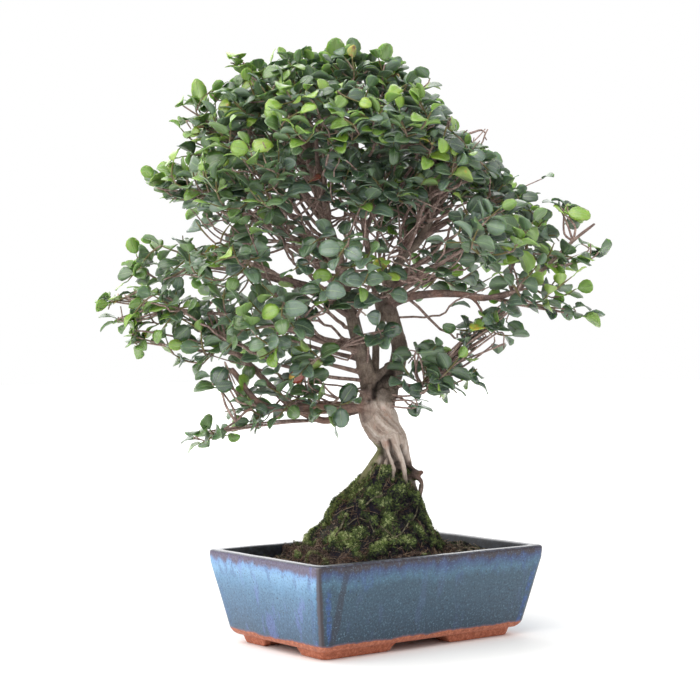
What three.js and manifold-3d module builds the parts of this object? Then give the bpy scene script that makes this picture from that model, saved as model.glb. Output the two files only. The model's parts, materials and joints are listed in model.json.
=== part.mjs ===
// A sageretia bonsai in a rectangular glazed pot: the pot with its feet and drain holes, two drain
// screens, the soil with its mound, the moss on the mound, the tree's wood, and its leafy sprays.
// Millimetres, +Z up, the pot's long side along X. The origin is under the middle of the whole
// object's box, on the surface that the pot stands on.
import * as THREE from "three";
import { mergeVertices } from "three/addons/utils/BufferGeometryUtils.js";
import Module from "manifold-3d";

const wasm = await Module();
wasm.setup();

const GAP = 0.35; // between solids that lie against each other

// Pot
const POT = {
  length: 252.5, width: 160, height: 80.5, corner: 6,
  rim: 9, rimRound: 1.5, floorTop: 15, cavityTaper: 14,
};
// Each step of the pot's outside: height, and how far inside the rim's outline it lies.
const POT_OUTSIDE = [
  [0, 23.2], [7.6, 20.8], [7.8, 16.6], [13.2, 12.6], [70, 0.5], [75, 0.1], [79, 0], [80.5, 1.5],
];
const FOOT = { height: 7, wall: 17, gapLong: 58, gapShort: 44, slant: 5 };
const DRAIN = { radius: 9, across: 52, sides: 12 };
const SCREEN = { side: 30, thick: 1, holes: 3, bar: 2 };

// Soil, mound and moss, in the tree's frame
const SOIL = { level: 70, swell: 1.1, cellsLong: 12, cellsWide: 8 };
// Waves of the ground, in radians a millimetre
const SWELLS = { across: 0.11, depth: 0.13, shift: 1, fine: 0.6, fineDepth: 0.27, fineAcross: 0.19 };
const MOUND = { across: 12, depth: 0, left: 104, right: 53, deep: 80, height: 70, crown: 0.15 };
const LUMPS = { across: 0.31, shift: 2, depth: 0.29, skew: 0.08 };
const MOSS = {
  thick: 3, thin: 0.9, lump: 1.3, edge: 0.2, spread: 0.97, ragged: 0.06, bays: [5, 9], sides: 15, wallGap: 1.5,
};
const MOSS_RANGE = [50, 231]; // heights between which the moss lies

// The tree's frame has X across its front, Y away from the front and Z up, and is turned in the pot.
const TREE_TURN = -39;

// Stems, from below upwards: [across, depth, up, radius]
const STEMS = {
  trunk: [
    [18, 0, 128, 15.4], [18, 0, 140, 14], [17.5, -1, 150, 13], [16, -2, 161, 12.2],
    [13, -2, 172, 13.6], [3.5, -1, 186, 15.6], [-2, 0, 200, 15.4], [-1, 0, 212, 15.6], [1, 0, 221, 13],
  ],
  left: [
    [-5, 0, 208, 9], [-10, -1, 233, 7.4], [-17, -3, 262, 6.4], [-23, -4, 284, 6.1], [-29, -2, 308, 5.8],
    [-35, 2, 335, 5.3], [-45, 5, 365, 4.7], [-54, 6, 396, 4], [-60, 4, 430, 3.2], [-62, 2, 452, 2.6],
  ],
  centre: [
    [0, 4, 214, 5], [-2, 6, 232, 3.8], [-1, 8, 261, 3.4], [3, 9, 276, 3.2], [-3, 8, 308, 3],
    [-9, 6, 343, 2.8], [-14, 4, 374, 2.6], [-18, 2, 413, 2.4], [-20, 0, 450, 2.2],
  ],
  right: [
    [6, 1, 208, 9], [16, 2, 236, 7.6], [19.5, 3, 254, 7.1], [16.5, 4, 269, 6.8], [12, 5, 284, 6.5],
    [8, 6, 298, 6.2], [12, 8, 316, 5], [22, 10, 335, 4.4], [38, 12, 352, 4], [48, 14, 375, 3.6],
    [52, 14, 405, 3.1], [50, 10, 438, 2.6],
  ],
};

// Ribs that wind round the trunk: how many, how deep, and how far they turn along it
const RIBS = [{ count: 3, depth: 0.1, turn: 4 }, { count: 5, depth: 0.04, turn: -3, shift: -90 }];

// Roots, from the trunk down into the mound: [across, depth, up, radius]
const ROOTS = [
  [[13, -1, 172, 8.5], [1, -4, 155, 8], [-11, -8, 135, 8.5], [-31, -12, 116, 8], [-56, -16, 86, 5]],
  [[8, -4, 160, 8], [-4, -13, 136, 8], [-20, -23, 112, 7], [-40, -32, 80, 4]],
  [[8, -8, 176, 4], [9, -13, 160, 5], [13, -17, 146, 4.4], [7, -20, 126, 3.4]],
  [[16, -9, 172, 5], [21, -13, 158, 5], [24, -15, 143, 4.4], [24, -20, 122, 3.6]],
  [[20, -2, 166, 5], [25, -3, 150, 5], [30, -4, 132, 4.6], [42, -6, 98, 3.6]],
  [[22, -4, 158, 3.6], [30, -6, 150, 2.8], [38.5, -9, 145, 2.3]],
  [[28, -6, 151, 2.2], [36, -9, 145, 1.9], [40, -11, 135, 1.8], [35, -14, 112, 1.6]],
  [[18, 8, 166, 7], [24, 18, 138, 6.5], [34, 36, 98, 4.5]],
  [[10, 8, 168, 7], [2, 20, 138, 7], [-20, 38, 98, 4.5]],
];

// Limbs and the sprays that they carry. from and at: the stem and the height that it leaves. via: points
// that it passes. r: its radius where it leaves and where it ends. pad: the middle and half sizes of the
// space that its spray fills. A limb with no pad ends bare.
const LIMBS = [
  { name: "crown_left", from: "left", at: 430, r: [2.4, 1.9], pad: [-84, -35, 472, 50, 45, 30], via: [] },
  { name: "crown_middle", from: "left", at: 448, r: [2.4, 1.9], pad: [-64, 42, 496, 52, 45, 28], via: [] },
  { name: "crown_top", from: "centre", at: 446, r: [2.1, 1.8], pad: [-16, -6, 494, 46, 45, 26], via: [] },
  { name: "crown_right", from: "right", at: 434, r: [2.4, 1.8], pad: [32, 6, 470, 42, 44, 28], via: [] },
  { name: "crown_front_left", from: "left", at: 385, r: [3, 1.9], pad: [-52, -98, 446, 50, 38, 34],
    via: [[-52, -38, 418]] },
  { name: "crown_front_right", from: "centre", at: 385, r: [2.3, 1.8], pad: [16, -94, 450, 46, 40, 34],
    via: [[2, -42, 422]] },
  { name: "crown_back_left", from: "left", at: 380, r: [3, 1.9], pad: [-54, 104, 450, 54, 42, 34],
    via: [[-52, 48, 420]] },
  { name: "crown_back_right", from: "right", at: 395, r: [2.6, 1.8], pad: [22, 98, 450, 48, 42, 33],
    via: [[42, 52, 424]] },
  { name: "shoulder_left", from: "left", at: 372, r: [3.2, 2], pad: [-132, -8, 452, 45, 46, 34],
    via: [[-86, -4, 416]] },
  { name: "shoulder_left_back", from: "left", at: 360, r: [3, 1.9], pad: [-118, 84, 436, 48, 42, 36],
    via: [[-78, 42, 404]] },
  { name: "shoulder_right", from: "right", at: 400, r: [2.4, 1.8], pad: [80, 12, 430, 36, 44, 29],
    via: [] },
  { name: "shoulder_right_front", from: "right", at: 368, r: [2.8, 1.8], pad: [70, -76, 420, 42, 38, 33],
    via: [[58, -34, 396]] },
  { name: "shoulder_right_back", from: "right", at: 376, r: [2.7, 1.8], pad: [80, 92, 418, 44, 40, 33],
    via: [[66, 50, 402]] },
  { name: "left_upper", from: "left", at: 330, r: [3.2, 2], pad: [-156, -18, 404, 44, 44, 32],
    via: [[-92, -12, 372]] },
  { name: "left_upper_front", from: "left", at: 322, r: [3, 1.9], pad: [-112, -90, 392, 45, 38, 38],
    via: [[-68, -44, 362]] },
  { name: "left_upper_back", from: "left", at: 326, r: [3, 1.9], pad: [-140, 72, 388, 44, 40, 34],
    via: [[-88, 44, 358]] },
  { name: "right_upper", from: "right", at: 350, r: [2.8, 1.8], pad: [122, 8, 390, 40, 44, 28],
    via: [[78, 6, 376]] },
  { name: "right_outer", from: "right", at: 306, r: [3.2, 1.8], pad: [149, -4, 348, 35, 44, 32],
    via: [[48, -4, 326], [92, -8, 340]] },
  { name: "right_outer_back", from: "right", at: 318, r: [3, 1.8], pad: [124, 84, 364, 44, 42, 33],
    via: [[66, 46, 344]] },
  { name: "right_front", from: "right", at: 296, r: [3, 1.8], pad: [92, -84, 350, 42, 38, 31],
    via: [[46, -40, 322]] },
  { name: "right_back_low", from: "right", at: 292, r: [2.8, 1.8], pad: [66, 98, 328, 46, 38, 28],
    via: [[34, 50, 308]] },
  { name: "right_low", from: "right", at: 294, r: [3.8, 2.2], pad: [138, -38, 308, 40, 40, 22],
    via: [[33, -2, 301], [57, -5, 303], [77, -8, 301], [92, -11, 298]] },
  { name: "right_bare", from: "right", at: 293, r: [3.4, 1.4], end: [187, -28, 362],
    via: [[33, -2, 300], [57, -5, 302], [77, -8, 301], [98, -13, 299], [117, -18, 303], [144, -22, 324],
      [168, -25, 347]] },
  { name: "right_hanging", from: "right", at: 222, r: [2.4, 1.6], pad: [58, -22, 238, 44, 30, 25],
    via: [[36, -8, 222]] },
  { name: "right_hanging_tip", from: "right", at: 293, r: [2.2, 1.5], pad: [92, -20, 268, 30, 22, 19],
    via: [[33, -2, 299], [57, -5, 301], [80, -9, 299], [89, -16, 289]] },
  { name: "left_middle", from: "left", at: 300, r: [3.2, 1.9], pad: [-186, -8, 330, 44, 42, 25],
    via: [[-76, -10, 314], [-122, -12, 322]] },
  { name: "left_inner_front", from: "left", at: 280, r: [3, 1.9], pad: [-130, -80, 336, 45, 38, 35],
    via: [[-62, -40, 306]] },
  { name: "left_back", from: "left", at: 290, r: [3, 1.9], pad: [-142, 76, 330, 46, 40, 36],
    via: [[-80, 44, 312]] },
  { name: "centre_front", from: "left", at: 296, r: [2.6, 1.8], pad: [-32, -98, 326, 40, 32, 34],
    via: [[-30, -44, 308]] },
  { name: "left_tip", from: "left", at: 256, r: [3, 1.8], pad: [-194, -24, 290, 40, 38, 24],
    via: [[-70, -14, 268], [-120, -22, 282]] },
  { name: "left_low_front", from: "left", at: 252, r: [3, 1.9], pad: [-98, -78, 278, 44, 38, 36],
    via: [[-42, -30, 258]] },
  { name: "left_low_back", from: "left", at: 244, r: [2.8, 1.8], pad: [-106, 72, 270, 46, 40, 34],
    via: [[-52, 36, 254]] },
  { name: "centre_low_left", from: "left", at: 232, r: [2.6, 1.7], pad: [-70, -30, 244, 34, 30, 25],
    via: [[-40, -12, 240]] },
  { name: "left_low", from: "trunk", at: 205, r: [3.8, 2.4], pad: [-156, -18, 262, 40, 40, 26],
    via: [[-26, 10, 198], [-48, 4, 191], [-77, -5, 205], [-94, -8, 222], [-119, -10, 247]] },
  { name: "left_lowest", from: "trunk", at: 204, r: [3.2, 2], pad: [-100, -20, 207, 42, 34, 22],
    via: [[-52, -10, 207]] },
  { name: "near_trunk", from: "trunk", at: 214, r: [2, 1.5], pad: [-48, -24, 202, 28, 20, 18],
    via: [[-24, -16, 218]] },
  { name: "left_drooping", from: "trunk", at: 201, r: [2.2, 1.2], pad: [-141, -38, 179, 14, 10, 9],
    via: [[-60, -26, 199], [-104, -34, 204], [-122, -37, 192]] },
  { name: "left_pruned", from: "trunk", at: 203, r: [3.2, 2.6], end: [-127, -26, 237],
    via: [[-50, -20, 204], [-98, -24, 205]] },
  { name: "centre_upper_front", from: "centre", at: 352, r: [2.2, 1.8], pad: [2, -60, 396, 46, 32, 32],
    via: [[-4, -26, 376]] },
  { name: "centre_upper_back", from: "right", at: 330, r: [2.4, 1.8], pad: [26, 62, 384, 44, 34, 34],
    via: [[26, 32, 352]] },
];

const LIMB_PIECES = 3; // fewest straight pieces of a limb
const LIMB_END = 0.75; // how far out in its pad a limb ends, as a share of the pad's half size

// Twigs and leaves
const TWIG = {
  stem: 7, step: 10, knot: 0.7, sunk: 0.45, slim: 0.7, tip: 0.62, growth: 0.42, thinnest: 0.8,
  tipArea: 88, fewestTips: 3, wander: 1.2, wayCost: 0.35, toTip: 2, bend: 0.45, sag: 0.05, steady: 3,
};
const LEAF = {
  shortest: 17, longest: 24, young: 0.82, slimmest: 0.68, widest: 0.84, thick: 0.7, arch: 0.13,
  stalk: 3.5, stalkFree: 1.5, stalkWide: 0.7, point: 0.2, pairs: 4, forward: 0.42, outward: 0.8, scatter: 0.5,
};
// The blade's broad places: share of its length, and half width as a share of the widest
const BLADE_ROWS = [[0.34, 0.86], [0.68, 0.84]];
const SHELL = { inner: 0.6, outer: 1 }; // share of the pad's half size that tips reach
const CANOPY_MIDDLE = new THREE.Vector3(-20, 0, 300);
const SHOWN = { tips: 0.13, order: 2, spread: 0.618, clear: 0.45 }; // which tips and pairs of leaves are made

const rad = THREE.MathUtils.degToRad;
const point = (p) => new THREE.Vector3(p[0], p[1], p[2]);
const UP = new THREE.Vector3(0, 0, 1);

// Seeded numbers from 0 to 1, the same on every run
function stream(seed) {
  let state = seed | 0;
  return () => {
    state = (state + 0x6d2b79f5) | 0;
    let t = Math.imul(state ^ (state >>> 15), 1 | state);
    t = (t + Math.imul(t ^ (t >>> 7), 61 | t)) ^ t;
    return ((t ^ (t >>> 14)) >>> 0) / 4294967296;
  };
}

// A geometry as a solid: only its corners count, and those in one place are merged.
function solidOf(geometry) {
  const bare = new THREE.BufferGeometry().setAttribute("position", geometry.getAttribute("position"));
  bare.setIndex(geometry.getIndex());
  const merged = mergeVertices(bare, 1e-4);
  return new wasm.Manifold(new wasm.Mesh({
    numProp: 3,
    vertProperties: new Float32Array(merged.attributes.position.array),
    triVerts: new Uint32Array(merged.index.array),
  }));
}

function geometryOf(solid) {
  const { vertProperties, triVerts } = solid.getMesh();
  return new THREE.BufferGeometry()
    .setAttribute("position", new THREE.BufferAttribute(new Float32Array(vertProperties), 3))
    .setIndex(new THREE.BufferAttribute(new Uint32Array(triVerts), 1));
}

function fromPoints(points, triangles) {
  const geometry = new THREE.BufferGeometry().setFromPoints(points);
  geometry.setIndex(triangles.flat());
  return solidOf(geometry);
}

function unionOf(solids) {
  return wasm.Manifold.union(solids);
}

// A solid through rings of equally many points, each ring running anticlockwise seen from the last one
function loft(rings) {
  const sides = rings[0].length;
  const last = (rings.length - 1) * sides;
  const triangles = [];
  for (let r = 0; r + 1 < rings.length; r++) {
    for (let i = 0; i < sides; i++) {
      const here = r * sides + i;
      const next = r * sides + ((i + 1) % sides);
      triangles.push([here, next, next + sides], [here, next + sides, here + sides]);
    }
  }
  for (let i = 1; i + 1 < sides; i++) {
    triangles.push([0, i + 1, i], [last, last + i, last + i + 1]);
  }
  return fromPoints(rings.flat(), triangles);
}

// A round bar along a line of points, with a radius at each one: a cylinder bent along the line.
// lobes(angle, share of the length) shapes its section.
function bar(line, radii, sides, lobes = () => 1) {
  const steps = line.length - 1;
  const geometry = new THREE.CylinderGeometry(1, 1, 1, sides, steps);
  const frames = framesAlong(line);
  const position = geometry.getAttribute("position");
  for (let i = 0; i < position.count; i++) {
    const step = Math.round((position.getY(i) + 0.5) * steps);
    const onAxis = Math.hypot(position.getX(i), position.getZ(i)) < 1e-6;
    const angle = Math.atan2(position.getX(i), position.getZ(i));
    const radius = onAxis ? 0 : radii[step] * lobes(angle, step / steps);
    const { side, lift } = frames[step];
    const at = line[step].clone()
      .addScaledVector(side, radius * Math.cos(angle))
      .addScaledVector(lift, radius * Math.sin(angle));
    position.setXYZ(i, at.x, at.y, at.z);
  }
  return solidOf(geometry);
}

// Two directions across the line at each of its points, turning as little as they can along it
function framesAlong(line) {
  const frames = [];
  let side = null;
  for (let i = 0; i < line.length; i++) {
    const before = line[Math.max(0, i - 1)];
    const after = line[Math.min(line.length - 1, i + 1)];
    const along = after.clone().sub(before).normalize();
    const guide = side ?? (Math.abs(along.z) > 0.9 ? new THREE.Vector3(1, 0, 0) : UP);
    side = guide.clone().addScaledVector(along, -guide.dot(along)).normalize();
    frames.push({ side, lift: along.clone().cross(side) });
  }
  return frames;
}

// A smooth line through points, made of at least a few straight pieces
function smoothLine(points, fewest) {
  const curve = new THREE.CatmullRomCurve3(points, false, "catmullrom", 0.5);
  return curve.getPoints(Math.max(points.length - 1, fewest));
}

// Pot

function roundedOutline(length, width, corner, height) {
  const [x, y] = [length / 2 - corner, width / 2 - corner];
  const shape = new THREE.Shape();
  shape.absarc(x, y, corner, 0, rad(90), false);
  shape.absarc(-x, y, corner, rad(90), rad(180), false);
  shape.absarc(-x, -y, corner, rad(180), rad(270), false);
  shape.absarc(x, -y, corner, rad(270), rad(360), false);
  const points = shape.getPoints(2);
  if (points[0].distanceTo(points.at(-1)) < 1e-3) points.pop();
  return points.map((p) => new THREE.Vector3(p.x, p.y, height));
}

function potRing(height, inset) {
  return roundedOutline(POT.length - 2 * inset, POT.width - 2 * inset, POT.corner, height);
}

// How far inside the rim's outline the cavity's wall lies at a height
function cavityInset(height) {
  return POT.rim + (POT.cavityTaper * (POT.height - height)) / (POT.height - POT.floorTop);
}

function cavity(clear, top) {
  const bottom = POT.floorTop + clear;
  return loft([potRing(bottom, cavityInset(bottom) + clear), potRing(top, cavityInset(top) + clear)]);
}

// A trench under the pot from one side to the other, wider below: the gap between two feet
function trench(gap, run, alongX) {
  const half = gap / 2;
  const shape = new THREE.Shape([
    new THREE.Vector2(-half - FOOT.slant, -1), new THREE.Vector2(half + FOOT.slant, -1),
    new THREE.Vector2(half, FOOT.height), new THREE.Vector2(-half, FOOT.height),
  ]);
  const geometry = new THREE.ExtrudeGeometry(shape, { depth: run, bevelEnabled: false });
  geometry.translate(0, 0, -run / 2);
  geometry.rotateX(rad(90));
  if (alongX) geometry.rotateZ(rad(90));
  return solidOf(geometry);
}

function makePot() {
  const outside = loft(POT_OUTSIDE.map(([height, inset]) => potRing(height, inset)));
  const mouth = loft([
    potRing(POT.height - POT.rimRound, POT.rim), potRing(POT.height + 1, POT.rim - POT.rimRound - 1),
  ]);
  const footInside = POT_OUTSIDE[0][1] + FOOT.wall;
  const underside = loft([potRing(-1, footInside), potRing(FOOT.height, footInside - 2)]);
  const cuts = [cavity(0, POT.height + 1), mouth, underside];
  cuts.push(trench(FOOT.gapLong, POT.width, false), trench(FOOT.gapShort, POT.length, true));
  for (const x of [-DRAIN.across, DRAIN.across]) {
    const hole = new THREE.CylinderGeometry(DRAIN.radius, DRAIN.radius, 2 * POT.floorTop, DRAIN.sides);
    cuts.push(solidOf(hole.rotateX(rad(90)).translate(x, 0, POT.floorTop)));
  }
  return outside.subtract(unionOf(cuts));
}

// Drain screens

function boxSolid(length, width, height, at) {
  return solidOf(new THREE.BoxGeometry(length, width, height).translate(at[0], at[1], at[2]));
}

function makeScreen() {
  const { side, thick, holes, bar: rib } = SCREEN;
  const pitch = (side - rib) / holes;
  const openings = [];
  for (let i = 0; i < holes * holes; i++) {
    const [x, y] = [i % holes, Math.floor(i / holes)].map((n) => (n + 0.5 - holes / 2) * pitch);
    openings.push(boxSolid(pitch - rib, pitch - rib, 3 * thick, [x, y, thick / 2]));
  }
  return boxSolid(side, side, thick, [0, 0, thick / 2]).subtract(unionOf(openings));
}

// Soil and moss

// How far a point of the plan lies from the mound's middle: 1 at its foot
function moundShare(across, depth) {
  const side = across - MOUND.across;
  return Math.hypot(side / (side < 0 ? MOUND.left : MOUND.right), (depth - MOUND.depth) / MOUND.deep);
}

function moundHeight(across, depth) {
  const fall = THREE.MathUtils.clamp((moundShare(across, depth) - MOUND.crown) / (1 - MOUND.crown), 0, 1);
  return (MOUND.height * (1 + Math.cos(Math.PI * fall))) / 2;
}

function soilHeight(across, depth) {
  const broad = Math.sin(across * SWELLS.across + SWELLS.shift) * Math.cos(depth * SWELLS.depth);
  const fine = Math.sin(depth * SWELLS.fineDepth - across * SWELLS.fineAcross);
  return SOIL.level + SOIL.swell * (broad + SWELLS.fine * fine) + moundHeight(across, depth);
}

// From the pot's frame to the tree's, on the plan
function toTree(x, y) {
  const turn = rad(-TREE_TURN);
  return [x * Math.cos(turn) - y * Math.sin(turn), x * Math.sin(turn) + y * Math.cos(turn)];
}

function inPotFrame(solid) {
  return solid.rotate([0, 0, TREE_TURN]);
}

// A block from the pot's floor up to a height given by a rule over the plan
function groundBlock(heightAt) {
  const geometry = new THREE.BoxGeometry(POT.length, POT.width, 1, SOIL.cellsLong, SOIL.cellsWide, 1);
  const position = geometry.getAttribute("position");
  for (let i = 0; i < position.count; i++) {
    const [across, depth] = toTree(position.getX(i), position.getY(i));
    position.setZ(i, position.getZ(i) > 0 ? heightAt(across, depth) : POT.floorTop);
  }
  return solidOf(geometry);
}

function makeSoil(socket, screens) {
  const block = groundBlock(soilHeight).intersect(cavity(GAP, POT.height + MOUND.height));
  return block.subtract(unionOf([socket, ...screens]));
}

function mossTop(across, depth) {
  const waves = Math.sin(across * LUMPS.across + LUMPS.shift)
    * Math.sin(depth * LUMPS.depth + across * LUMPS.skew);
  const edge = THREE.MathUtils.smoothstep(MOSS.spread - moundShare(across, depth), 0, MOSS.edge);
  const thick = THREE.MathUtils.lerp(MOSS.thin, MOSS.thick + MOSS.lump * waves, edge);
  return soilHeight(across, depth) + GAP + thick;
}

// The moss lies on the mound inside a ragged outline, and clear of the pot's wall.
function makeMoss(socket) {
  const outline = Array.from({ length: MOSS.sides }, (_, s) => {
    const turn = (2 * Math.PI * s) / MOSS.sides;
    const bays = MOSS.bays.reduce((sum, count, i) => sum + Math.sin(count * turn + i + 1), 0);
    const out = MOSS.spread * (1 + MOSS.ragged * bays);
    const reach = Math.cos(turn) < 0 ? MOUND.left : MOUND.right;
    return [MOUND.across + out * reach * Math.cos(turn), MOUND.depth + out * MOUND.deep * Math.sin(turn)];
  });
  const region = loft(MOSS_RANGE.map((height) => (
    outline.map(([across, depth]) => new THREE.Vector3(across, depth, height)))));
  const skin = groundBlock(mossTop).subtract(groundBlock((across, depth) => soilHeight(across, depth) + GAP));
  const inside = cavity(MOSS.wallGap, 2 * POT.height);
  return largestOf(skin.intersect(inPotFrame(region)).intersect(inside).subtract(socket));
}

function largestOf(solid) {
  return solid.decompose().reduce((best, body) => (body.volume() > best.volume() ? body : best));
}

// Wood

function stemBar(rows, sides, extra, lobes) {
  return bar(rows.map(point), rows.map((row) => row[3] + extra), sides, lobes);
}

// The ribs that wind round the trunk, as its roots and forks run into it
function trunkLobes(angle, share) {
  const rise = ({ count, depth, turn, shift = 0 }) => (
    depth * Math.cos(count * angle + turn * share + rad(shift))
  );
  return RIBS.reduce((sum, rib) => sum + rise(rib), 1);
}

// The trunk and its roots, thickened by extra: what stands in the soil
function footOfTree(extra) {
  const trunk = stemBar(STEMS.trunk, 11, extra, trunkLobes);
  return unionOf([trunk, ...ROOTS.map((rows) => stemBar(rows, rows[0][3] > 5 ? 6 : 4, extra))]);
}

function pointAtHeight(rows, height) {
  const above = Math.max(1, rows.findIndex((row) => row[2] > height));
  const [low, high] = [rows[above - 1], rows[above]];
  return point(low).lerp(point(high), (height - low[2]) / (high[2] - low[2]));
}

// The line of a limb: it leaves the middle of its stem and stops inside its pad.
function limbLine(limb) {
  const points = [pointAtHeight(STEMS[limb.from], limb.at), ...limb.via.map(point)];
  if (limb.end) return smoothLine([...points, point(limb.end)], LIMB_PIECES);
  const middle = point(limb.pad);
  const back = points.at(-1).clone().sub(middle);
  const depth = Math.hypot(back.x / limb.pad[3], back.y / limb.pad[4], back.z / limb.pad[5]);
  points.push(middle.addScaledVector(back, LIMB_END / depth));
  return smoothLine(points, LIMB_PIECES);
}

function limbBar(limb, extra) {
  const line = limbLine(limb);
  const radii = line.map((_, i) => THREE.MathUtils.lerp(limb.r[0], limb.r[1], i / (line.length - 1)) + extra);
  return bar(line, radii, limb.r[0] > 3.5 ? 5 : 4);
}

// Sprays: the same rule grows every one of them from the end of its limb.

// The points that a spray's twigs reach, spread over the outer part of its pad
function twigTargets(pad, index, draw) {
  const [, , , across, deep, high] = pad;
  const area = (across * deep + deep * high + across * high) / 3;
  const count = Math.max(TWIG.fewestTips, Math.round(area / TWIG.tipArea));
  const targets = [];
  for (let i = 0; i < count; i++) {
    const level = 1 - (2 * (i + 0.5)) / count;
    const turn = i * Math.PI * (3 - Math.sqrt(5)) + index;
    const ring = Math.sqrt(1 - level * level);
    const share = SHELL.inner + (SHELL.outer - SHELL.inner) * draw();
    targets.push(point(pad).add(new THREE.Vector3(
      share * across * ring * Math.cos(turn), share * deep * ring * Math.sin(turn), share * high * level,
    )));
  }
  return targets;
}

// A spray's twigs as nodes, each knowing the one before it. A new twig leaves from where the way to its
// tip is short and the way back to the limb isn't long.
function growTwigs(limb, index) {
  const draw = stream(1000 + index);
  const line = limbLine(limb);
  const root = line.at(-1);
  const heading = root.clone().sub(line.at(-2)).normalize();
  const lift = liftAt(root, heading, UP, heading);
  const nodes = [[GAP, -1, 0], [TWIG.stem, 0, TWIG.stem]].map(([out, before, way]) => (
    { at: root.clone().addScaledVector(heading, out), before, way, heading, lift, tips: 0 }));
  const targets = twigTargets(limb.pad, index, draw).sort((a, b) => a.distanceTo(root) - b.distanceTo(root));
  const twigs = targets.map((target) => {
    let best = 1;
    let least = Infinity;
    for (let n = 1; n < nodes.length; n++) {
      const cost = nodes[n].at.distanceTo(target) + TWIG.wayCost * nodes[n].way;
      if (cost < least) [best, least] = [n, cost];
    }
    return addTwig(nodes, best, target, draw);
  });
  for (const twig of twigs) {
    for (let n = twig.at(-1); n >= 0; n = nodes[n].before) nodes[n].tips += 1;
  }
  return { nodes, twigs };
}

// Adds one twig from a node to a target as a bent line of nodes, and returns their numbers.
function addTwig(nodes, from, target, draw) {
  const start = nodes[from];
  const reach = start.at.distanceTo(target);
  const toward = target.clone().sub(start.at).normalize();
  const bend = toward.clone().multiplyScalar(TWIG.toTip).add(start.heading).normalize();
  const knee = start.at.clone().addScaledVector(bend, TWIG.bend * reach);
  knee.z -= TWIG.sag * reach;
  const pieces = Math.max(1, Math.round(reach / TWIG.step));
  const twig = [];
  for (let i = 1; i <= pieces; i++) {
    const t = i / pieces;
    const at = start.at.clone().multiplyScalar((1 - t) ** 2)
      .addScaledVector(knee, 2 * t * (1 - t))
      .addScaledVector(target, t * t);
    at.add(new THREE.Vector3(draw() - 0.5, draw() - 0.5, draw() - 0.5).multiplyScalar(TWIG.wander));
    const before = i === 1 ? from : nodes.length - 1;
    const heading = at.clone().sub(nodes[before].at).normalize();
    const lift = liftAt(at, heading, nodes[before].lift, nodes[before].heading);
    nodes.push({ at, before, way: nodes[before].way + reach / pieces, heading, lift, tips: 0 });
    twig.push(nodes.length - 1);
  }
  return twig;
}

function twigRadius(node) {
  return Math.max(TWIG.thinnest, TWIG.tip * Math.max(1, node.tips) ** TWIG.growth);
}

// The leaves on the outer nodes of a twig: one at its tip, and pairs below it. order counts from the tip.
function leavesOf(spray, twigNumber, index) {
  const twig = spray.twigs[twigNumber];
  const leaves = [];
  for (let order = 0; order < Math.min(LEAF.pairs, twig.length); order++) {
    for (const hand of order ? [-1, 1] : [0]) {
      const draw = stream(((index * 64 + twigNumber) * 8 + order) * 4 + hand + 7);
      const node = twig[twig.length - 1 - order];
      leaves.push({ order, node, hand, ...leafPose(spray.nodes[node], order, hand, draw) });
    }
  }
  return leaves;
}

// The direction across a twig that faces up out of the crown. It follows the one before it, so a twig
// hardly turns about its own line.
function liftAt(at, heading, last, lastHeading) {
  const turn = new THREE.Quaternion().setFromUnitVectors(lastHeading, heading);
  const lift = at.clone().sub(CANOPY_MIDDLE).normalize().multiplyScalar(LEAF.outward).add(UP);
  lift.addScaledVector(last.clone().applyQuaternion(turn), TWIG.steady);
  return lift.addScaledVector(heading, -lift.dot(heading)).normalize();
}

function leafPose(node, order, hand, draw) {
  const scatter = (amount) => new THREE.Vector3(...[0, 1, 2].map(() => (draw() - 0.5) * amount));
  const side = node.lift.clone().cross(node.heading);
  const along = side.multiplyScalar(hand).addScaledVector(node.heading, hand ? LEAF.forward : 1);
  along.add(scatter(LEAF.scatter)).normalize();
  const face = node.lift.clone().add(scatter(LEAF.scatter));
  face.addScaledVector(along, -face.dot(along)).normalize();
  const length = (LEAF.shortest + (LEAF.longest - LEAF.shortest) * draw()) * (order ? 1 : LEAF.young);
  const width = length * (LEAF.slimmest + (LEAF.widest - LEAF.slimmest) * draw());
  return { at: node.at, along, face, length, width };
}

// A point of a leaf's blade: down its length, out from its rib and up from its middle plane
function bladePoint({ at, along, face }, down, out, up) {
  const across = along.clone().cross(face);
  return at.clone().addScaledVector(along, down).addScaledVector(across, out).addScaledVector(face, up);
}

// A leaf blade on its own, grown by extra, from start on along its rib
function blade(leaf, extra, start) {
  const thick = LEAF.thick / 2 + extra;
  const arch = LEAF.arch * leaf.width;
  const rows = BLADE_ROWS.map(([share, width]) => [share * leaf.length, (width * leaf.width) / 2, arch]);
  const [broad, wide] = rows[0];
  const base = THREE.MathUtils.lerp(LEAF.stalkWide, wide, start / broad);
  const rings = [
    [start, base + extra, (arch * start) / broad],
    ...rows.map(([down, half]) => [down, half + extra, arch]),
    [leaf.length + extra, LEAF.point + extra, 0],
  ];
  const corners = [[-1, 1], [1, 1], [1, -1], [-1, -1]];
  return loft(rings.map(([down, out, up]) => (
    corners.map(([hand, level]) => bladePoint(leaf, down, hand * out, up + level * thick))
  )));
}

// Everything made so far that a new twig or leaf has to stay clear of
const made = [];

function remember(solid, owner) {
  made.push({ solid, owner, box: solid.boundingBox() });
}

function clearOfOthers(solid, owners) {
  const box = solid.boundingBox();
  return made.every((other) => owners.includes(other.owner)
    || [0, 1, 2].some((i) => box.min[i] > other.box.max[i] || box.max[i] < other.box.min[i])
    || solid.intersect(other.solid).isEmpty());
}

// The nodes of a twig back to the first one that is already made
function newNodes(spray, twig, done) {
  const line = [];
  for (let n = twig.at(-1); n >= 0; n = spray.nodes[n].before) {
    line.unshift(n);
    if (done.has(n)) break;
  }
  return line;
}

// A twig's nodes without every second one, but with its ends, its leafy nodes and the spray's first stem
function thinned(line) {
  const leafy = line.length - 1 - SHOWN.order;
  return line.filter((n, i) => i % 2 === 0 || n === 1 || i >= leafy);
}

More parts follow.
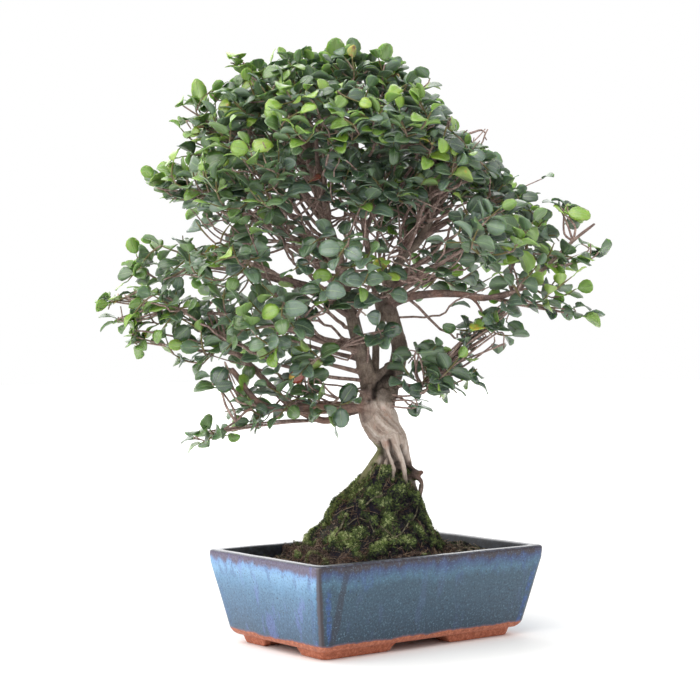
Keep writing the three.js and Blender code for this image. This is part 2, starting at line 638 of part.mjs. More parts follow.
// A spray's twigs in the order in which they are tried: the furthest one, then others far and near
function twigOrder(count) {
  const key = (t) => (t === count - 1 ? -1 : (t * SHOWN.spread) % 1);
  return Array.from({ length: count }, (_, t) => t).sort((a, b) => key(a) - key(b));
}

// Whether a twig has room, and the plain bar that others keep clear of
function twigBar(spray, line, owner) {
  const places = line.map((n) => spray.nodes[n].at);
  const radii = line.map((n) => twigRadius(spray.nodes[n]));
  const guard = places.slice(line[0] === 0 ? 1 : 0);
  const room = radii.slice(-guard.length).map((r) => r + SHOWN.clear);
  return clearOfOthers(bar(guard, room, 4), [owner]) ? bar(places, radii, 4) : null;
}

// The leaves that have room: beyond their stalks they touch neither another part nor their own spray.
function leavesWithRoom(leaves, owner) {
  return leaves.filter((leaf) => {
    if (!clearOfOthers(blade(leaf, SHOWN.clear, 0), [owner, `${owner} leaves`])) return false;
    const whole = blade(leaf, 0, LEAF.stalkFree);
    if (!clearOfOthers(whole, [owner]) || !clearOfOthers(blade(leaf, 0, LEAF.stalk), [])) return false;
    remember(whole, `${owner} leaves`);
    return true;
  });
}

// Where the corners of a blade lie on a square twig, by the side that it leaves from: which hand of the
// blade and which face, in the order of the twig's corners there
const BLADE_CORNERS = {
  "1": [[-1, -1], [-1, 1], [1, 1], [1, -1]],
  "-1": [[1, 1], [1, -1], [-1, -1], [-1, 1]],
  "0": [[-1, 1], [1, 1], [1, -1], [-1, -1]],
};

// A twig with its leaves as one closed surface: a square bar, drawn out into a blade where a leaf sits
function leafyTwig(spray, line, leaves) {
  const points = [];
  const triangles = [];
  const ring = (places) => places.map((place) => points.push(place) - 1);
  const face = (a, b, c) => {
    if (a !== b && b !== c && a !== c) triangles.push([a, b, c]);
  };
  const skin = (from, to, turned = () => false) => from.forEach((a, i) => {
    const [b, c, d] = [from[(i + 1) % 4], to[(i + 1) % 4], to[i]];
    if (turned(i)) {
      face(a, b, d);
      face(b, c, d);
    } else {
      face(a, b, c);
      face(a, c, d);
    }
  });
  const section = (i, shift, scale) => {
    const nodeAt = (k) => spray.nodes[line[THREE.MathUtils.clamp(k, 0, line.length - 1)]];
    const [before, here, after] = [i - 1, i, i + 1].map(nodeAt);
    const toward = (a, b) => (a === b ? new THREE.Vector3() : b.at.clone().sub(a.at).normalize());
    const along = toward(before, here).add(toward(here, after)).normalize();
    const guide = (i ? here : after).lift;
    const lift = guide.clone().addScaledVector(along, -guide.dot(along)).normalize();
    const side = lift.clone().cross(along);
    const half = twigRadius(here) * Math.SQRT1_2 * scale;
    return ring([[1, 1], [-1, 1], [-1, -1], [1, -1]].map(([s, l]) => here.at.clone()
      .addScaledVector(along, shift).addScaledVector(side, s * half).addScaledVector(lift, l * half)));
  };
  const drawOut = (from, leaf) => {
    const corners = BLADE_CORNERS[leaf.hand];
    const below = (i) => corners[i][1] < 0 && corners[(i + 1) % 4][1] < 0;
    const arch = LEAF.arch * leaf.width;
    const half = LEAF.thick / 2;
    let last = from;
    for (const [share, width] of BLADE_ROWS) {
      const next = ring(corners.map(([hand, level]) => bladePoint(
        leaf, share * leaf.length, (hand * width * leaf.width) / 2, arch + level * half,
      )));
      skin(last, next, below);
      last = next;
    }
    const [top, under] = ring([1, -1].map((level) => bladePoint(leaf, leaf.length, 0, level * half)));
    skin(last, corners.map(([, level]) => (level > 0 ? top : under)), below);
  };
  const sits = (n, hand) => leaves.find((leaf) => leaf.node === n && leaf.hand === hand);

  let last = line[0] === 0 ? section(0, 0, 1) : section(0, -TWIG.sunk, TWIG.slim);
  face(last[0], last[2], last[1]);
  face(last[0], last[3], last[2]);
  line.forEach((n, i) => {
    if (!i) return;
    const sides = [-1, 1].map((hand) => sits(n, hand));
    const knot = sides.some(Boolean);
    const lower = section(i, knot ? -TWIG.knot : 0, 1);
    skin(last, lower);
    last = lower;
    if (!knot) return;
    const upper = section(i, TWIG.knot, 1);
    [0, 1, 2, 3].forEach((k) => {
      const quad = [lower[k], lower[(k + 1) % 4], upper[(k + 1) % 4], upper[k]];
      const leaf = { 1: sides[0], 3: sides[1] }[k];
      if (leaf) return drawOut(quad, leaf);
      face(quad[0], quad[1], quad[2]);
      return face(quad[0], quad[2], quad[3]);
    });
    last = upper;
  });
  const end = sits(line.at(-1), 0);
  if (end) {
    drawOut(last, end);
  } else {
    face(last[0], last[1], last[2]);
    face(last[0], last[2], last[3]);
  }
  return fromPoints(points, triangles);
}

function makeSpray(limb, index) {
  const spray = growTwigs(limb, index);
  const solids = [];
  const done = new Set();
  let wanted = Math.ceil(spray.twigs.length * SHOWN.tips);
  for (const t of twigOrder(spray.twigs.length)) {
    const line = thinned(newNodes(spray, spray.twigs[t], done));
    if (!wanted || line.length < 2) continue;
    const plain = twigBar(spray, line, limb.name);
    if (!plain) continue;
    wanted -= 1;
    line.forEach((n) => done.add(n));
    remember(plain, limb.name);
    const shown = leavesOf(spray, t, index)
      .filter((leaf) => leaf.order <= SHOWN.order && line.includes(leaf.node));
    solids.push(leafyTwig(spray, line, leavesWithRoom(shown, limb.name)));
  }
  return largestOf(unionOf(solids));
}

// The whole object

const MATERIALS = {
  glaze: new THREE.MeshStandardMaterial({ color: 0x4f6f8c, roughness: 0.25, metalness: 0 }),
  screen: new THREE.MeshStandardMaterial({ color: 0x2b2b2b, roughness: 0.6, metalness: 0 }),
  soil: new THREE.MeshStandardMaterial({ color: 0x3a2c22, roughness: 0.95, metalness: 0 }),
  moss: new THREE.MeshStandardMaterial({ color: 0x4a5f22, roughness: 0.95, metalness: 0 }),
  bark: new THREE.MeshStandardMaterial({ color: 0x8a7566, roughness: 0.85, metalness: 0 }),
  leaf: new THREE.MeshStandardMaterial({ color: 0x3f6a3c, roughness: 0.5, metalness: 0 }),
};

function named(name, solid, material) {
  const mesh = new THREE.Mesh(geometryOf(solid), material);
  mesh.name = name;
  return mesh;
}

const bonsai = new THREE.Group();
const tree = new THREE.Group();
tree.rotation.z = rad(TREE_TURN);
bonsai.add(tree);

bonsai.add(named("pot", makePot(), MATERIALS.glaze));

const screenRoom = [];
for (const [name, x] of [["drain_screen_left", -DRAIN.across], ["drain_screen_right", DRAIN.across]]) {
  const mesh = named(name, makeScreen(), MATERIALS.screen);
  mesh.position.set(x, 0, POT.floorTop + GAP);
  bonsai.add(mesh);
  const side = SCREEN.side + 2 * GAP;
  screenRoom.push(boxSolid(side, side, 2 * (SCREEN.thick + 2 * GAP), [x, 0, POT.floorTop]));
}

const socket = inPotFrame(footOfTree(GAP));
bonsai.add(named("soil", makeSoil(socket, screenRoom), MATERIALS.soil));
bonsai.add(named("moss", makeMoss(socket), MATERIALS.moss));

const forks = ["left", "centre", "right"].map((name) => stemBar(STEMS[name], name === "centre" ? 5 : 7, 0));
const limbs = LIMBS.map((limb) => limbBar(limb, 0));
tree.add(named("trunk", unionOf([footOfTree(0), ...forks, ...limbs]), MATERIALS.bark));

remember(footOfTree(SHOWN.clear), "trunk");
forks.forEach((solid) => remember(solid, "trunk"));
LIMBS.forEach((limb) => remember(limbBar(limb, SHOWN.clear), limb.pad ? `limb of ${limb.name}` : "trunk"));

LIMBS.forEach((limb, index) => {
  if (limb.pad) tree.add(named(`spray_${limb.name}`, makeSpray(limb, index), MATERIALS.leaf));
});

const box = new THREE.Box3().setFromObject(bonsai, true);
const middle = box.getCenter(new THREE.Vector3());
bonsai.position.set(-middle.x, -middle.y, 0);

export default bonsai;
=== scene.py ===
# The looks of a sageretia bonsai in its glazed pot: the pot, the soil and its crumbs, the moss, the tree's
# wood with its bark, and its leafy sprays.
# Shapes are worked out in millimetres and become metres when their mesh is made. The tree is worked out in
# its own frame, with X across its front, Y away from the front and Z up, and is turned in the pot.
import json
import math
from collections import namedtuple

import bmesh
import bpy
import numpy as np
from mathutils import Matrix, Vector, kdtree, noise

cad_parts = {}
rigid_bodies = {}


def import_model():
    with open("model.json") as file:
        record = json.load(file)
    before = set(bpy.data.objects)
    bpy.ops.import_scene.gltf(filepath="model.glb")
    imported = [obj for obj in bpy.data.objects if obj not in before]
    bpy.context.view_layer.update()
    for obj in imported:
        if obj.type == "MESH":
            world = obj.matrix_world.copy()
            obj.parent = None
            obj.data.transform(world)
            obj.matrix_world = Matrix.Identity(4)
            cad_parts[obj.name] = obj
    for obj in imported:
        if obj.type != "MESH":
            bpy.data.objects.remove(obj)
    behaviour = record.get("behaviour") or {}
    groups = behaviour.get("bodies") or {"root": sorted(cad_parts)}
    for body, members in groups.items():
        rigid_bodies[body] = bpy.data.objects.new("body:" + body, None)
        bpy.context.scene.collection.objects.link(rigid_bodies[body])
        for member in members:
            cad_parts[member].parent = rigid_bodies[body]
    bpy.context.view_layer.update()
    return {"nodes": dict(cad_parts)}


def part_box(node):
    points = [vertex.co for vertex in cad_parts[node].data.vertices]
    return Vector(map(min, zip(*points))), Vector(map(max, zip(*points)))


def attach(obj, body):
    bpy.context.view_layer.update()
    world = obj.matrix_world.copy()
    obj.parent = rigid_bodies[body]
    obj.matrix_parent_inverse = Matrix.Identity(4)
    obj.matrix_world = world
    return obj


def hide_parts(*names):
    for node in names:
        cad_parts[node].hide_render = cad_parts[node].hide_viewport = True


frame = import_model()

MM = 0.001
TREE_TURN = math.radians(-39)
UP = np.array([0.0, 0.0, 1.0])
pot_low, pot_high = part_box("pot")
POT_MIDDLE = np.array([(pot_low.x + pot_high.x) / 2, (pot_low.y + pot_high.y) / 2, 0.0]) / MM

# Pot
POT = dict(length=252.5, width=160, height=80.5, corner=6, rim=9, floor_top=15, cavity_taper=14)
FOOT = dict(height=7, gap_long=58, gap_short=44, slant=7)
DRAIN = dict(radius=9, across=52)
OUTLINE_STEPS = dict(arc=7, long=64, short=42)
# The pot's profile: how far below the top, and the inset
RIM_INSIDE = [(0, 6.2), (0.25, 7.6), (0.9, 8.7), (1.8, 9.2)]
RIM_OUTSIDE = [(0, 4.2), (0, 3.0), (0.15, 1.7), (0.6, 0.8), (1.4, 0.2), (2.6, 0.0), (4.2, 0.0)]
# The height, and the inset
UNDER_RIM = [(75.0, 0.1), (72.6, 0.35)]
WALL = dict(top=70, bottom=13.2, inset=0.5, taper=12.1, rings=20)
FOOT_OUTSIDE = [
    (11.6, 13.4), (9.8, 14.6), (8.6, 15.8), (7.8, 16.9), (7.55, 18.2), (7.5, 20.0), (7.1, 20.8), (5.6, 21.3),
    (4.0, 21.8), (2.4, 22.3), (1.0, 22.8), (0.35, 23.3), (0.0, 24.3),
]
UNDERSIDE = [(0.0, 28.0), (0.0, 36.0), (0.0, 39.4), (0.5, 40.2), (7.0, 38.6)]
OUTER_PROFILE = [(0, 23.2), (7.6, 20.8), (13.2, 12.6), (70, 0.5), (75, 0.1), (79, 0)]
UNEVEN = dict(above=8, swell=0.35, swell_size=(45, 30), waves_above=60, wave=0.25, wave_size=28)
DARK_RUN = dict(low=7, slant=0.3, half=4.6)  # on the long side, by how far it is from the corner

# Soil, mound and moss
GAP = 0.35
SOIL = dict(level=70, swell=1.1, bottom=17.2, cells=(148, 90), sunk=0.6, clods=[(0.9, 7, 0), (0.7, 3, 5)])
SWELLS = dict(across=0.11, depth=0.13, shift=1, fine=0.6, fine_depth=0.27, fine_across=0.19)
MOUND = dict(across=12, depth=0, left=104, right=53, deep=80, height=70, crown=0.15)
LUMPS = dict(across=0.31, shift=2, depth=0.29, skew=0.08)
# Heaps and hollows of the ground: across, depth, how high and how wide
HEAPS = [(3, -20, 13, 12), (72, 36, 10, 22), (44, 58, 8, 18), (-64, -8, -8, 20), (-24, 14, -10, 14)]
BARING = dict(below=0.25, slope=1.3, reach=(13, 5))  # how the ground falls away beside bared roots
CUSHIONS = dict(
    broad=12, fine=5, high=8, low=0.5, bare=0.13, lumps=(-0.35, 0.5), edge=(-0.02, 0.1), off_ridge=(6, 15),
    rough=0.7, rough_size=1.9,
)
PEAT = dict(size=11, high=24, low=3, least=0.5, soft=0.35)
MOSS = dict(
    thick=3, thin=0.9, lump=1.3, edge=0.2, spread=0.97, ragged=0.06, bays=(5, 9), wall_gap=1.5, frayed=0.05,
    cell=1.35, across=(-118, 74), depth=(-84, 84),
)
SPIKES = dict(count=5, wide=0.42, sunk=0.4)
TUFTS = [(2.3, 0.8), (1.9, 1.1), (2.7, 0.6), (1.6, 1.3)]  # how high, and how far the blades lean
NEEDLES = [(9, 0.28), (13, 0.24), (7, 0.34), (17, 0.3)]  # how long and how thick
LYING = dict(forward=1.2, lift=0.5, ends_sunk=5, knots=0.15)  # how thin roots lie on the moss
# Thin roots on the mound's front, seen from there: radius, and points across and up
SURFACE_ROOTS = [
    (0.75, [(37, 134), (33, 112), (26, 105), (19, 97), (8, 92)]),
    (0.6, [(-8, 110), (-6, 104), (-3, 97), (-4, 90)]),
    (0.6, [(-26, 103), (-17, 109), (-9, 107)]),
    (1.3, [(4, 128), (-4, 125), (-11, 119)]),
    (1.2, [(-26, 114), (-31, 102), (-37, 93)]),
    (0.45, [(24, 120), (14, 112), (12, 101)]),
    (0.45, [(-44, 102), (-52, 94), (-66, 86)]),
    (0.45, [(40, 104), (46, 95), (50, 84)]),
    (0.45, [(2, 104), (10, 97), (22, 92), (30, 84)]),
]

# Stems, from below upwards: across, depth, up, radius
STEMS = {
    "trunk": [
        (18, 0, 128, 15.4), (18, 0, 140, 14), (17.5, -1, 150, 13), (16, -2, 161, 12.2),
        (13, -2, 172, 13.6), (3.5, -1, 186, 15.6), (-2, 0, 200, 15.4), (-1, 0, 212, 15.6),
        (1, 0, 221, 13),
    ],
    "left": [
        (-5, 0, 208, 9), (-10, -1, 233, 7.4), (-17, -3, 262, 6.4), (-23, -4, 284, 6.1),
        (-29, -2, 308, 5.8), (-35, 2, 335, 5.3), (-45, 5, 365, 4.7), (-54, 6, 396, 4),
        (-60, 4, 430, 3.2), (-62, 2, 452, 2.6),
    ],
    "centre": [
        (0, 4, 214, 5), (-2, 6, 232, 3.8), (-1, 8, 261, 3.4), (3, 9, 276, 3.2), (-3, 8, 308, 3),
        (-9, 6, 343, 2.8), (-14, 4, 374, 2.6), (-18, 2, 413, 2.4), (-20, 0, 450, 2.2),
    ],
    "right": [
        (6, 1, 208, 9), (16, 2, 236, 7.6), (19.5, 3, 254, 7.1), (16.5, 4, 269, 6.8), (12, 5, 284, 6.5),
        (8, 6, 298, 6.2), (12, 8, 316, 5), (22, 10, 335, 4.4), (38, 12, 352, 4), (48, 14, 375, 3.6),
        (52, 14, 405, 3.1), (50, 10, 438, 2.6),
    ],
}

# Roots, from the trunk down into the mound: across, depth, up, radius
ROOTS = [
    [(13, -1, 172, 8), (3.5, -3, 157.5, 8), (-8.5, -7, 140.5, 8), (-20, -11, 125.5, 6.8), (-30, -15, 110, 5),
     (-37, -18, 97, 3.5)],
    [(8, -4, 160, 8), (-4, -13, 136, 8), (-20, -23, 112, 7), (-40, -32, 80, 4)],
    [(8, -8, 176, 4.2), (9, -13, 162, 4.8), (13.5, -17, 150, 4.2), (12.5, -19.5, 139, 3.2),
     (10, -20, 126, 2.4)],
    [(16, -9, 172, 5), (20.5, -13, 158, 5), (24, -15.5, 144, 4.4), (24, -20, 122, 3.6)],
    [(20, -2, 166, 5), (25, -3, 150, 5), (30, -4, 132, 4.6), (42, -6, 98, 3.6)],
    [(22, -4, 157, 3.8), (29, -6, 149, 3.1), (35, -8, 145.5, 2.6), (39.5, -9, 147, 1.7)],
    [(24, -5, 148, 2.2), (31, -7, 142.5, 2.6), (36.5, -9, 140.5, 2.1), (38.5, -10, 134, 1.8),
     (36, -12, 125, 2.3), (34.5, -14, 110, 1.7)],
    [(18, 8, 166, 7), (24, 18, 138, 6.5), (34, 36, 98, 4.5)],
    [(10, 8, 168, 7), (2, 20, 138, 7), (-20, 38, 98, 4.5)],
    [(7, -11, 160, 3.6), (7, -17, 151, 3.4), (5.5, -20, 142, 3), (8, -22, 130, 2.2)],
    [(-14, -10, 136, 5.5), (-27, -11, 128, 4.6), (-38, -13, 117, 3.6), (-46, -16, 98, 2.6)],
]
RIDGES = (0, 10)  # the roots that are bare and olive above and mossy below
STUBS = (5, 6)  # the thin dark roots on the right
GROWN_OVER = (1, 8)  # the roots behind the ridge, green from near the trunk
FINGERS = (2, 3, 4, 9)  # the pale roots in front, dark at their ends
BARED = (0, 1, 2, 3, 4, 10)  # the roots that the ground falls away from

# Limbs: the stem and the height that each leaves, its radii, and the middle and half sizes of the space
# that its spray fills, or the point where a bare limb ends. Last come the points that it passes.
Limb = namedtuple("Limb", "name stem height radii pad via")
LIMBS = [Limb(*row) for row in [
    ("crown_left", "left", 430, (2.4, 1.9), (-84, -35, 472, 50, 45, 30), []),
    ("crown_middle", "left", 448, (2.4, 1.9), (-64, 42, 496, 52, 45, 28), []),
    ("crown_top", "centre", 446, (2.1, 1.8), (-16, -6, 494, 46, 45, 26), []),
    ("crown_right", "right", 434, (2.4, 1.8), (32, 6, 470, 42, 44, 28), []),
    ("crown_front_left", "left", 385, (3, 1.9), (-52, -98, 446, 50, 38, 34), [(-52, -38, 418)]),
    ("crown_front_right", "centre", 385, (2.3, 1.8), (16, -94, 450, 46, 40, 34), [(2, -42, 422)]),
    ("crown_back_left", "left", 380, (3, 1.9), (-54, 104, 450, 54, 42, 34), [(-52, 48, 420)]),
    ("crown_back_right", "right", 395, (2.6, 1.8), (22, 98, 450, 48, 42, 33), [(42, 52, 424)]),
    ("shoulder_left", "left", 372, (3.2, 2), (-132, -8, 452, 45, 46, 34), [(-86, -4, 416)]),
    ("shoulder_left_back", "left", 360, (3, 1.9), (-118, 84, 436, 48, 42, 36), [(-78, 42, 404)]),
    ("shoulder_right", "right", 400, (2.4, 1.8), (80, 12, 430, 36, 44, 29), []),
    ("shoulder_right_front", "right", 368, (2.8, 1.8), (70, -76, 420, 42, 38, 33), [(58, -34, 396)]),
    ("shoulder_right_back", "right", 376, (2.7, 1.8), (80, 92, 418, 44, 40, 33), [(66, 50, 402)]),
    ("left_upper", "left", 330, (3.2, 2), (-156, -18, 404, 44, 44, 32), [(-92, -12, 372)]),
    ("left_upper_front", "left", 322, (3, 1.9), (-112, -90, 392, 45, 38, 38), [(-68, -44, 362)]),
    ("left_upper_back", "left", 326, (3, 1.9), (-140, 72, 388, 44, 40, 34), [(-88, 44, 358)]),
    ("right_upper", "right", 350, (2.8, 1.8), (122, 8, 390, 40, 44, 28), [(78, 6, 376)]),
    ("right_outer", "right", 306, (3.2, 1.8), (149, -4, 348, 35, 44, 32), [(48, -4, 326), (92, -8, 340)]),
    ("right_outer_back", "right", 318, (3, 1.8), (124, 84, 364, 44, 42, 33), [(66, 46, 344)]),
    ("right_front", "right", 296, (3, 1.8), (92, -84, 350, 42, 38, 31), [(46, -40, 322)]),
    ("right_back_low", "right", 292, (2.8, 1.8), (66, 98, 328, 46, 38, 28), [(34, 50, 308)]),
    ("right_low", "right", 294, (3.8, 2.2), (138, -38, 308, 40, 40, 22),
     [(33, -2, 301), (57, -5, 303), (77, -8, 301), (92, -11, 298)]),
    ("right_bare", "right", 293, (3.4, 1.4), (187, -28, 362),
     [(33, -2, 300), (57, -5, 302), (77, -8, 301), (98, -13, 299), (117, -18, 303), (144, -22, 324),
      (168, -25, 347)]),
    ("right_hanging", "right", 222, (2.4, 1.6), (58, -22, 238, 44, 30, 25), [(36, -8, 222)]),
    ("right_hanging_tip", "right", 293, (2.2, 1.5), (92, -20, 268, 30, 22, 19),
     [(33, -2, 299), (57, -5, 301), (80, -9, 299), (89, -16, 289)]),
    ("left_middle", "left", 300, (3.2, 1.9), (-186, -8, 330, 44, 42, 25),
     [(-76, -10, 314), (-122, -12, 322)]),
    ("left_inner_front", "left", 280, (3, 1.9), (-130, -80, 336, 45, 38, 35), [(-62, -40, 306)]),
    ("left_back", "left", 290, (3, 1.9), (-142, 76, 330, 46, 40, 36), [(-80, 44, 312)]),
    ("centre_front", "left", 296, (2.6, 1.8), (-32, -98, 326, 40, 32, 34), [(-30, -44, 308)]),
    ("left_tip", "left", 256, (3, 1.8), (-194, -24, 290, 40, 38, 24), [(-70, -14, 268), (-120, -22, 282)]),
    ("left_low_front", "left", 252, (3, 1.9), (-98, -78, 278, 44, 38, 36), [(-42, -30, 258)]),
    ("left_low_back", "left", 244, (2.8, 1.8), (-106, 72, 270, 46, 40, 34), [(-52, 36, 254)]),
    ("centre_low_left", "left", 232, (2.6, 1.7), (-70, -30, 244, 34, 30, 25), [(-40, -12, 240)]),
    ("left_low", "trunk", 205, (3.8, 2.4), (-156, -18, 262, 40, 40, 26),
     [(-26, 10, 198), (-48, 4, 191), (-77, -5, 205), (-94, -8, 222), (-119, -10, 247)]),
    ("left_lowest", "trunk", 204, (3.2, 2), (-100, -20, 207, 42, 34, 22), [(-52, -10, 207)]),
    ("near_trunk", "trunk", 214, (2, 1.5), (-48, -24, 202, 28, 20, 18), [(-24, -16, 218)]),
    ("left_drooping", "trunk", 201, (2.2, 1.2), (-141, -38, 179, 14, 10, 9),
     [(-60, -26, 199), (-104, -34, 204), (-122, -37, 192)]),
    ("left_pruned", "trunk", 203, (3.2, 2.6), (-127, -26, 237), [(-50, -20, 204), (-98, -24, 205)]),
    ("centre_upper_front", "centre", 352, (2.2, 1.8), (2, -60, 396, 46, 32, 32), [(-4, -26, 376)]),
    ("centre_upper_back", "right", 330, (2.4, 1.8), (26, 62, 384, 44, 34, 34), [(26, 32, 352)]),
]]
LIMB_PIECES = 3
LIMB_END = 0.75
SPRAYLESS = ("right_bare", "left_pruned")
STRONG = ("left_low", "left_pruned", "right_low", "right_bare")  # the limbs as thick as their solids

# The wood's skin and bark
WOOD = dict(step=2.2, voxel=1.16, faces_kept=0.62, slim=0.84)
WINDING = dict(trunk=0.024, stem=0.014, root=0.02, limb=0.01)
RIBS = [(0.09, 3, 0.6, 0), (0.05, 7, 2, 0.04)]  # how high, how many, how far turned, how much they wind
# The way that a ridge's mossy flank faces, and the heights between which moss fades
MOSSY = dict(side=(0.74, -0.27, -0.62), flank=(168, 160), ridge=(134, 122), grown_over=(160, 150),
             over_ground=(5, 1))
# Small burls and stumps on the trunk and its forks: across, depth, up, radius
BURLS = [
    (-12, -5, 205, 6), (11, -9, 205, 5), (7, -11, 215, 5), (-6, -9, 220, 5), (13, -6, 216, 5),
    (-15, -3, 247, 4), (21, -1, 258, 4.5), (9, 0, 290, 5), (19, 3, 246, 4.5), (-24, -3, 286, 4),
    (22, -5, 154, 4), (0, -3, 226, 8), (5, -3, 232, 6), (10, -4, 238, 4.5), (-5, 0, 232, 5),
]
BURL_RINGS = (-0.95, -0.7, -0.3, 0.1, 0.5, 0.8, 0.97)
# Hollows between forks and roots, dug in and painted dark as painted shade: across, depth, up, radius, and
# how deep
HOLLOWS = [
    (-8, -14, 209, 3, 1.8), (16, -17, 154, 2.6, 3.4), (17, -19, 145, 3, 4), (18, -20, 136, 3.5, 4),
    (4, -15, 160, 3, 3), (3, -17, 149, 3.5, 4), (28, -10, 150, 3, 3), (29, -11, 140, 4, 3.5),
    (0, 16, 204, 5, 3), (12, 16, 176, 5, 3),
]
# Clefts seen from the front, at the fork and between roots, dug in and painted dark as painted shade: half
# width, depth, points across and up
CLEFTS = [
    (2.4, 4.5, [(-4, 212), (-3, 219), (3, 225), (8, 229), (13, 233)]),
    (1.5, 4, [(10, 174), (13.5, 163), (18, 152), (18.5, 136)]),
    (1.3, 3, [(5, 166), (9.5, 153), (9.5, 138)]),
    (1.4, 3.5, [(21, 170), (26, 156), (28, 140)]),
    (1.3, 3, [(1, 172), (3.5, 160), (2, 148)]),
]
# Places where the bark is reddish: across, depth, up, radius
WARM_SPOTS = [
    (-15, -6, 205, 8), (-11, -12, 190, 5), (9, -15, 172, 5), (36, -8, 148, 9), (66, -6, 300, 34),
    (-50, -16, 205, 34), (-116, -24, 214, 26), (3, -15, 213, 5),
]

# Twigs and leaves
TWIG = dict(
    stem=7, step=10, tip=0.62, growth=0.42, thinnest=0.8, tip_area=88, fewest_tips=3, wander=0.6,
    way_cost=0.35, to_tip=2, bend=0.45, sag=0.05, steady=3,
)
LEAF = dict(
    shortest=17, longest=24, young=0.82, slimmest=0.68, widest=0.84, pairs=4,
    forward=0.42, outward=0.8, scatter=0.25, tilt=0.95, outwards=np.array([1, 1, 0.55]),
    roll=math.radians(45),
)
SHELL = dict(inner=0.6, outer=1)
CANOPY_MIDDLE = np.array([-20.0, 0.0, 300.0])
SHOOT = dict(
    low=0.04, high=0.62, heights=(300, 450), shortest=13, longest=24, spread=0.9, hands=(0, -1, 1),
    radii=(0.75, 0.62, 0.4), fresh=(0.0, 0.5, 1.0),
)
RARE = dict(young=0.07, yellow=0.006, red=0.003)  # shares of leaves with a colour of their own
PAINTED_SIDE_LIGHT = dict(more=0.1, reach=120)  # leaves on the left are painted lighter as painted light, and on the right darker as painted shade
EDGE = dict(inner=0.72, outer=1.08, reach=(190, 165, 245))  # where in the crown leaves are young and lighter, partly as young growth and partly as painted glow of backlit leaves
# A leaf's length and width beside those of its place, and where leaves are fewer and larger
SMALL = dict(
    least=0.72, most=1.01, narrow=0.8, wide=0.98, heights=(280, 400), left=(40, 95), missing=0.6, large=0.03,
)
# The blade's outline: share of its length, and half width as a share of the widest
LEAF_OUTLINE = [(0.0, 0.16), (0.14, 0.68), (0.37, 0.97), (0.63, 0.98), (0.88, 0.7), (1.0, 0.25)]
LEAF_COLUMNS = (-1.0, -0.5, 0.0, 0.5, 1.0)
# How far a form of leaf is folded, curled down and waved
LEAF_FORMS = [(0.05, 0.1, 0.02), (0.12, 0.14, 0.03), (0.0, -0.05, 0.04), (0.07, 0.22, 0.03)]
STALK_SHARE = 0.13

# The crown's flat sides seen from the front: a direction across and up, and how far the crown reaches
TRIMS = [(0.0, 1.0, 509), (0.7, 0.7, 356)]
SHOULDER = 396  # how far the crown reaches halfway between upwards and its front or back
EYE = dict(height=255.5, away=1500)
# Where the sky shows through the crown from the front: across, up, half width, half height, leaves missing
CLEARINGS = [
    (-178, 366, 24, 16, 0.75), (-146, 356, 20, 14, 0.92), (-122, 316, 20, 14, 0.55), (-82, 330, 16, 13, 0.5),
    (52, 362, 20, 14, 0.5), (92, 448, 26, 18, 1), (172, 356, 26, 14, 0.9), (-112, 408, 14, 12, 0.35),
    (-170, 438, 18, 12, 0.6), (-74, 268, 14, 10, 0.45), (-40, 262, 14, 16, 0.6), (-152, 207, 28, 15, 1),
    (74, 198, 18, 15, 1), (120, 306, 14, 10, 0.5), (108, 254, 24, 16, 0.75), (42, 274, 20, 16, 0.55),
    (20, 350, 30, 16, 0.4), (162, 290, 14, 11, 0.6), (-172, 486, 14, 10, 0.7),
]
CLEAR_OF_TWIGS = 0.6  # no twig ends where more leaves than this are missing

# Fine branches inside the crown, from a limb's stem into its spray, bare near the stem
INNER = dict(
    each=5, fewer=1, step=7, start=1.6, end=0.6, stray=18, wander=1.5, forks=0.5, leaves=0.4, bare=0.4,
    below=55, leafless=300, lowest=224,
)
# Small branches that fill the crown, each round a point: across, depth, up, spread, and the share of leaves
FILLERS = [
    (-44, -42, 392, 26, 0.2), (-30, 44, 396, 26, 0.2), (-14, -52, 366, 26, 0.2), (4, 48, 366, 26, 0.2),
    (30, -44, 386, 26, 0.2), (38, 40, 352, 26, 0.2), (-58, 34, 362, 26, 0.2), (16, -34, 342, 26, 0.2),
    (-2, 30, 404, 26, 0.2), (48, -8, 396, 26, 0.2), (-36, 10, 374, 26, 0.2), (24, 12, 366, 26, 0.2),
    (-22, 38, 330, 26, 0.2), (-218, -20, 282, 12, 1), (-226, -16, 296, 10, 1), (-134, -36, 236, 15, 1),
    (-136, -30, 222, 9, 1), (-62, -34, 240, 12, 1), (-62, -30, 212, 15, 1), (36, -26, 214, 12, 1),
    (50, -28, 222, 11, 1), (88, -28, 272, 14, 1), (104, -22, 262, 12, 1), (168, -14, 290, 12, 1),
    (-162, -24, 456, 11, 1), (-14, -60, 290, 13, 1), (6, -60, 300, 15, 1), (-42, -58, 300, 14, 1),
    (12, -50, 320, 14, 1), (4, -44, 268, 11, 1), (106, -24, 288, 11, 1), (182, -24, 336, 12, 1),
    (-46, -50, 288, 12, 1), (-146, -20, 290, 11, 1), (96, -24, 268, 10, 1), (34, -26, 248, 11, 1),
    (-210, -22, 266, 12, 1), (30, -26, 208, 9, 1), (-58, -32, 226, 12, 1), (160, -10, 378, 12, 1),
    (74, -20, 334, 13, 1), (118, -20, 334, 12, 1), (-188, -10, 398, 10, 1), (-120, -20, 500, 10, 1),
    (-150, -38, 183, 9, 1),
]
FILLER = dict(branches=3, start=1.2, end=0.55, step=8, least=30)

# Floor, light and camera
FLOOR = 9  # half its width in metres
WORLD_LIGHT = 0.84
CAMERA = dict(
    azimuth=math.radians(39.18), yaw=math.radians(-0.93), away=1500, height=255.5, fall=-0.0016, lens=87.83,
)


# Numbers and lines

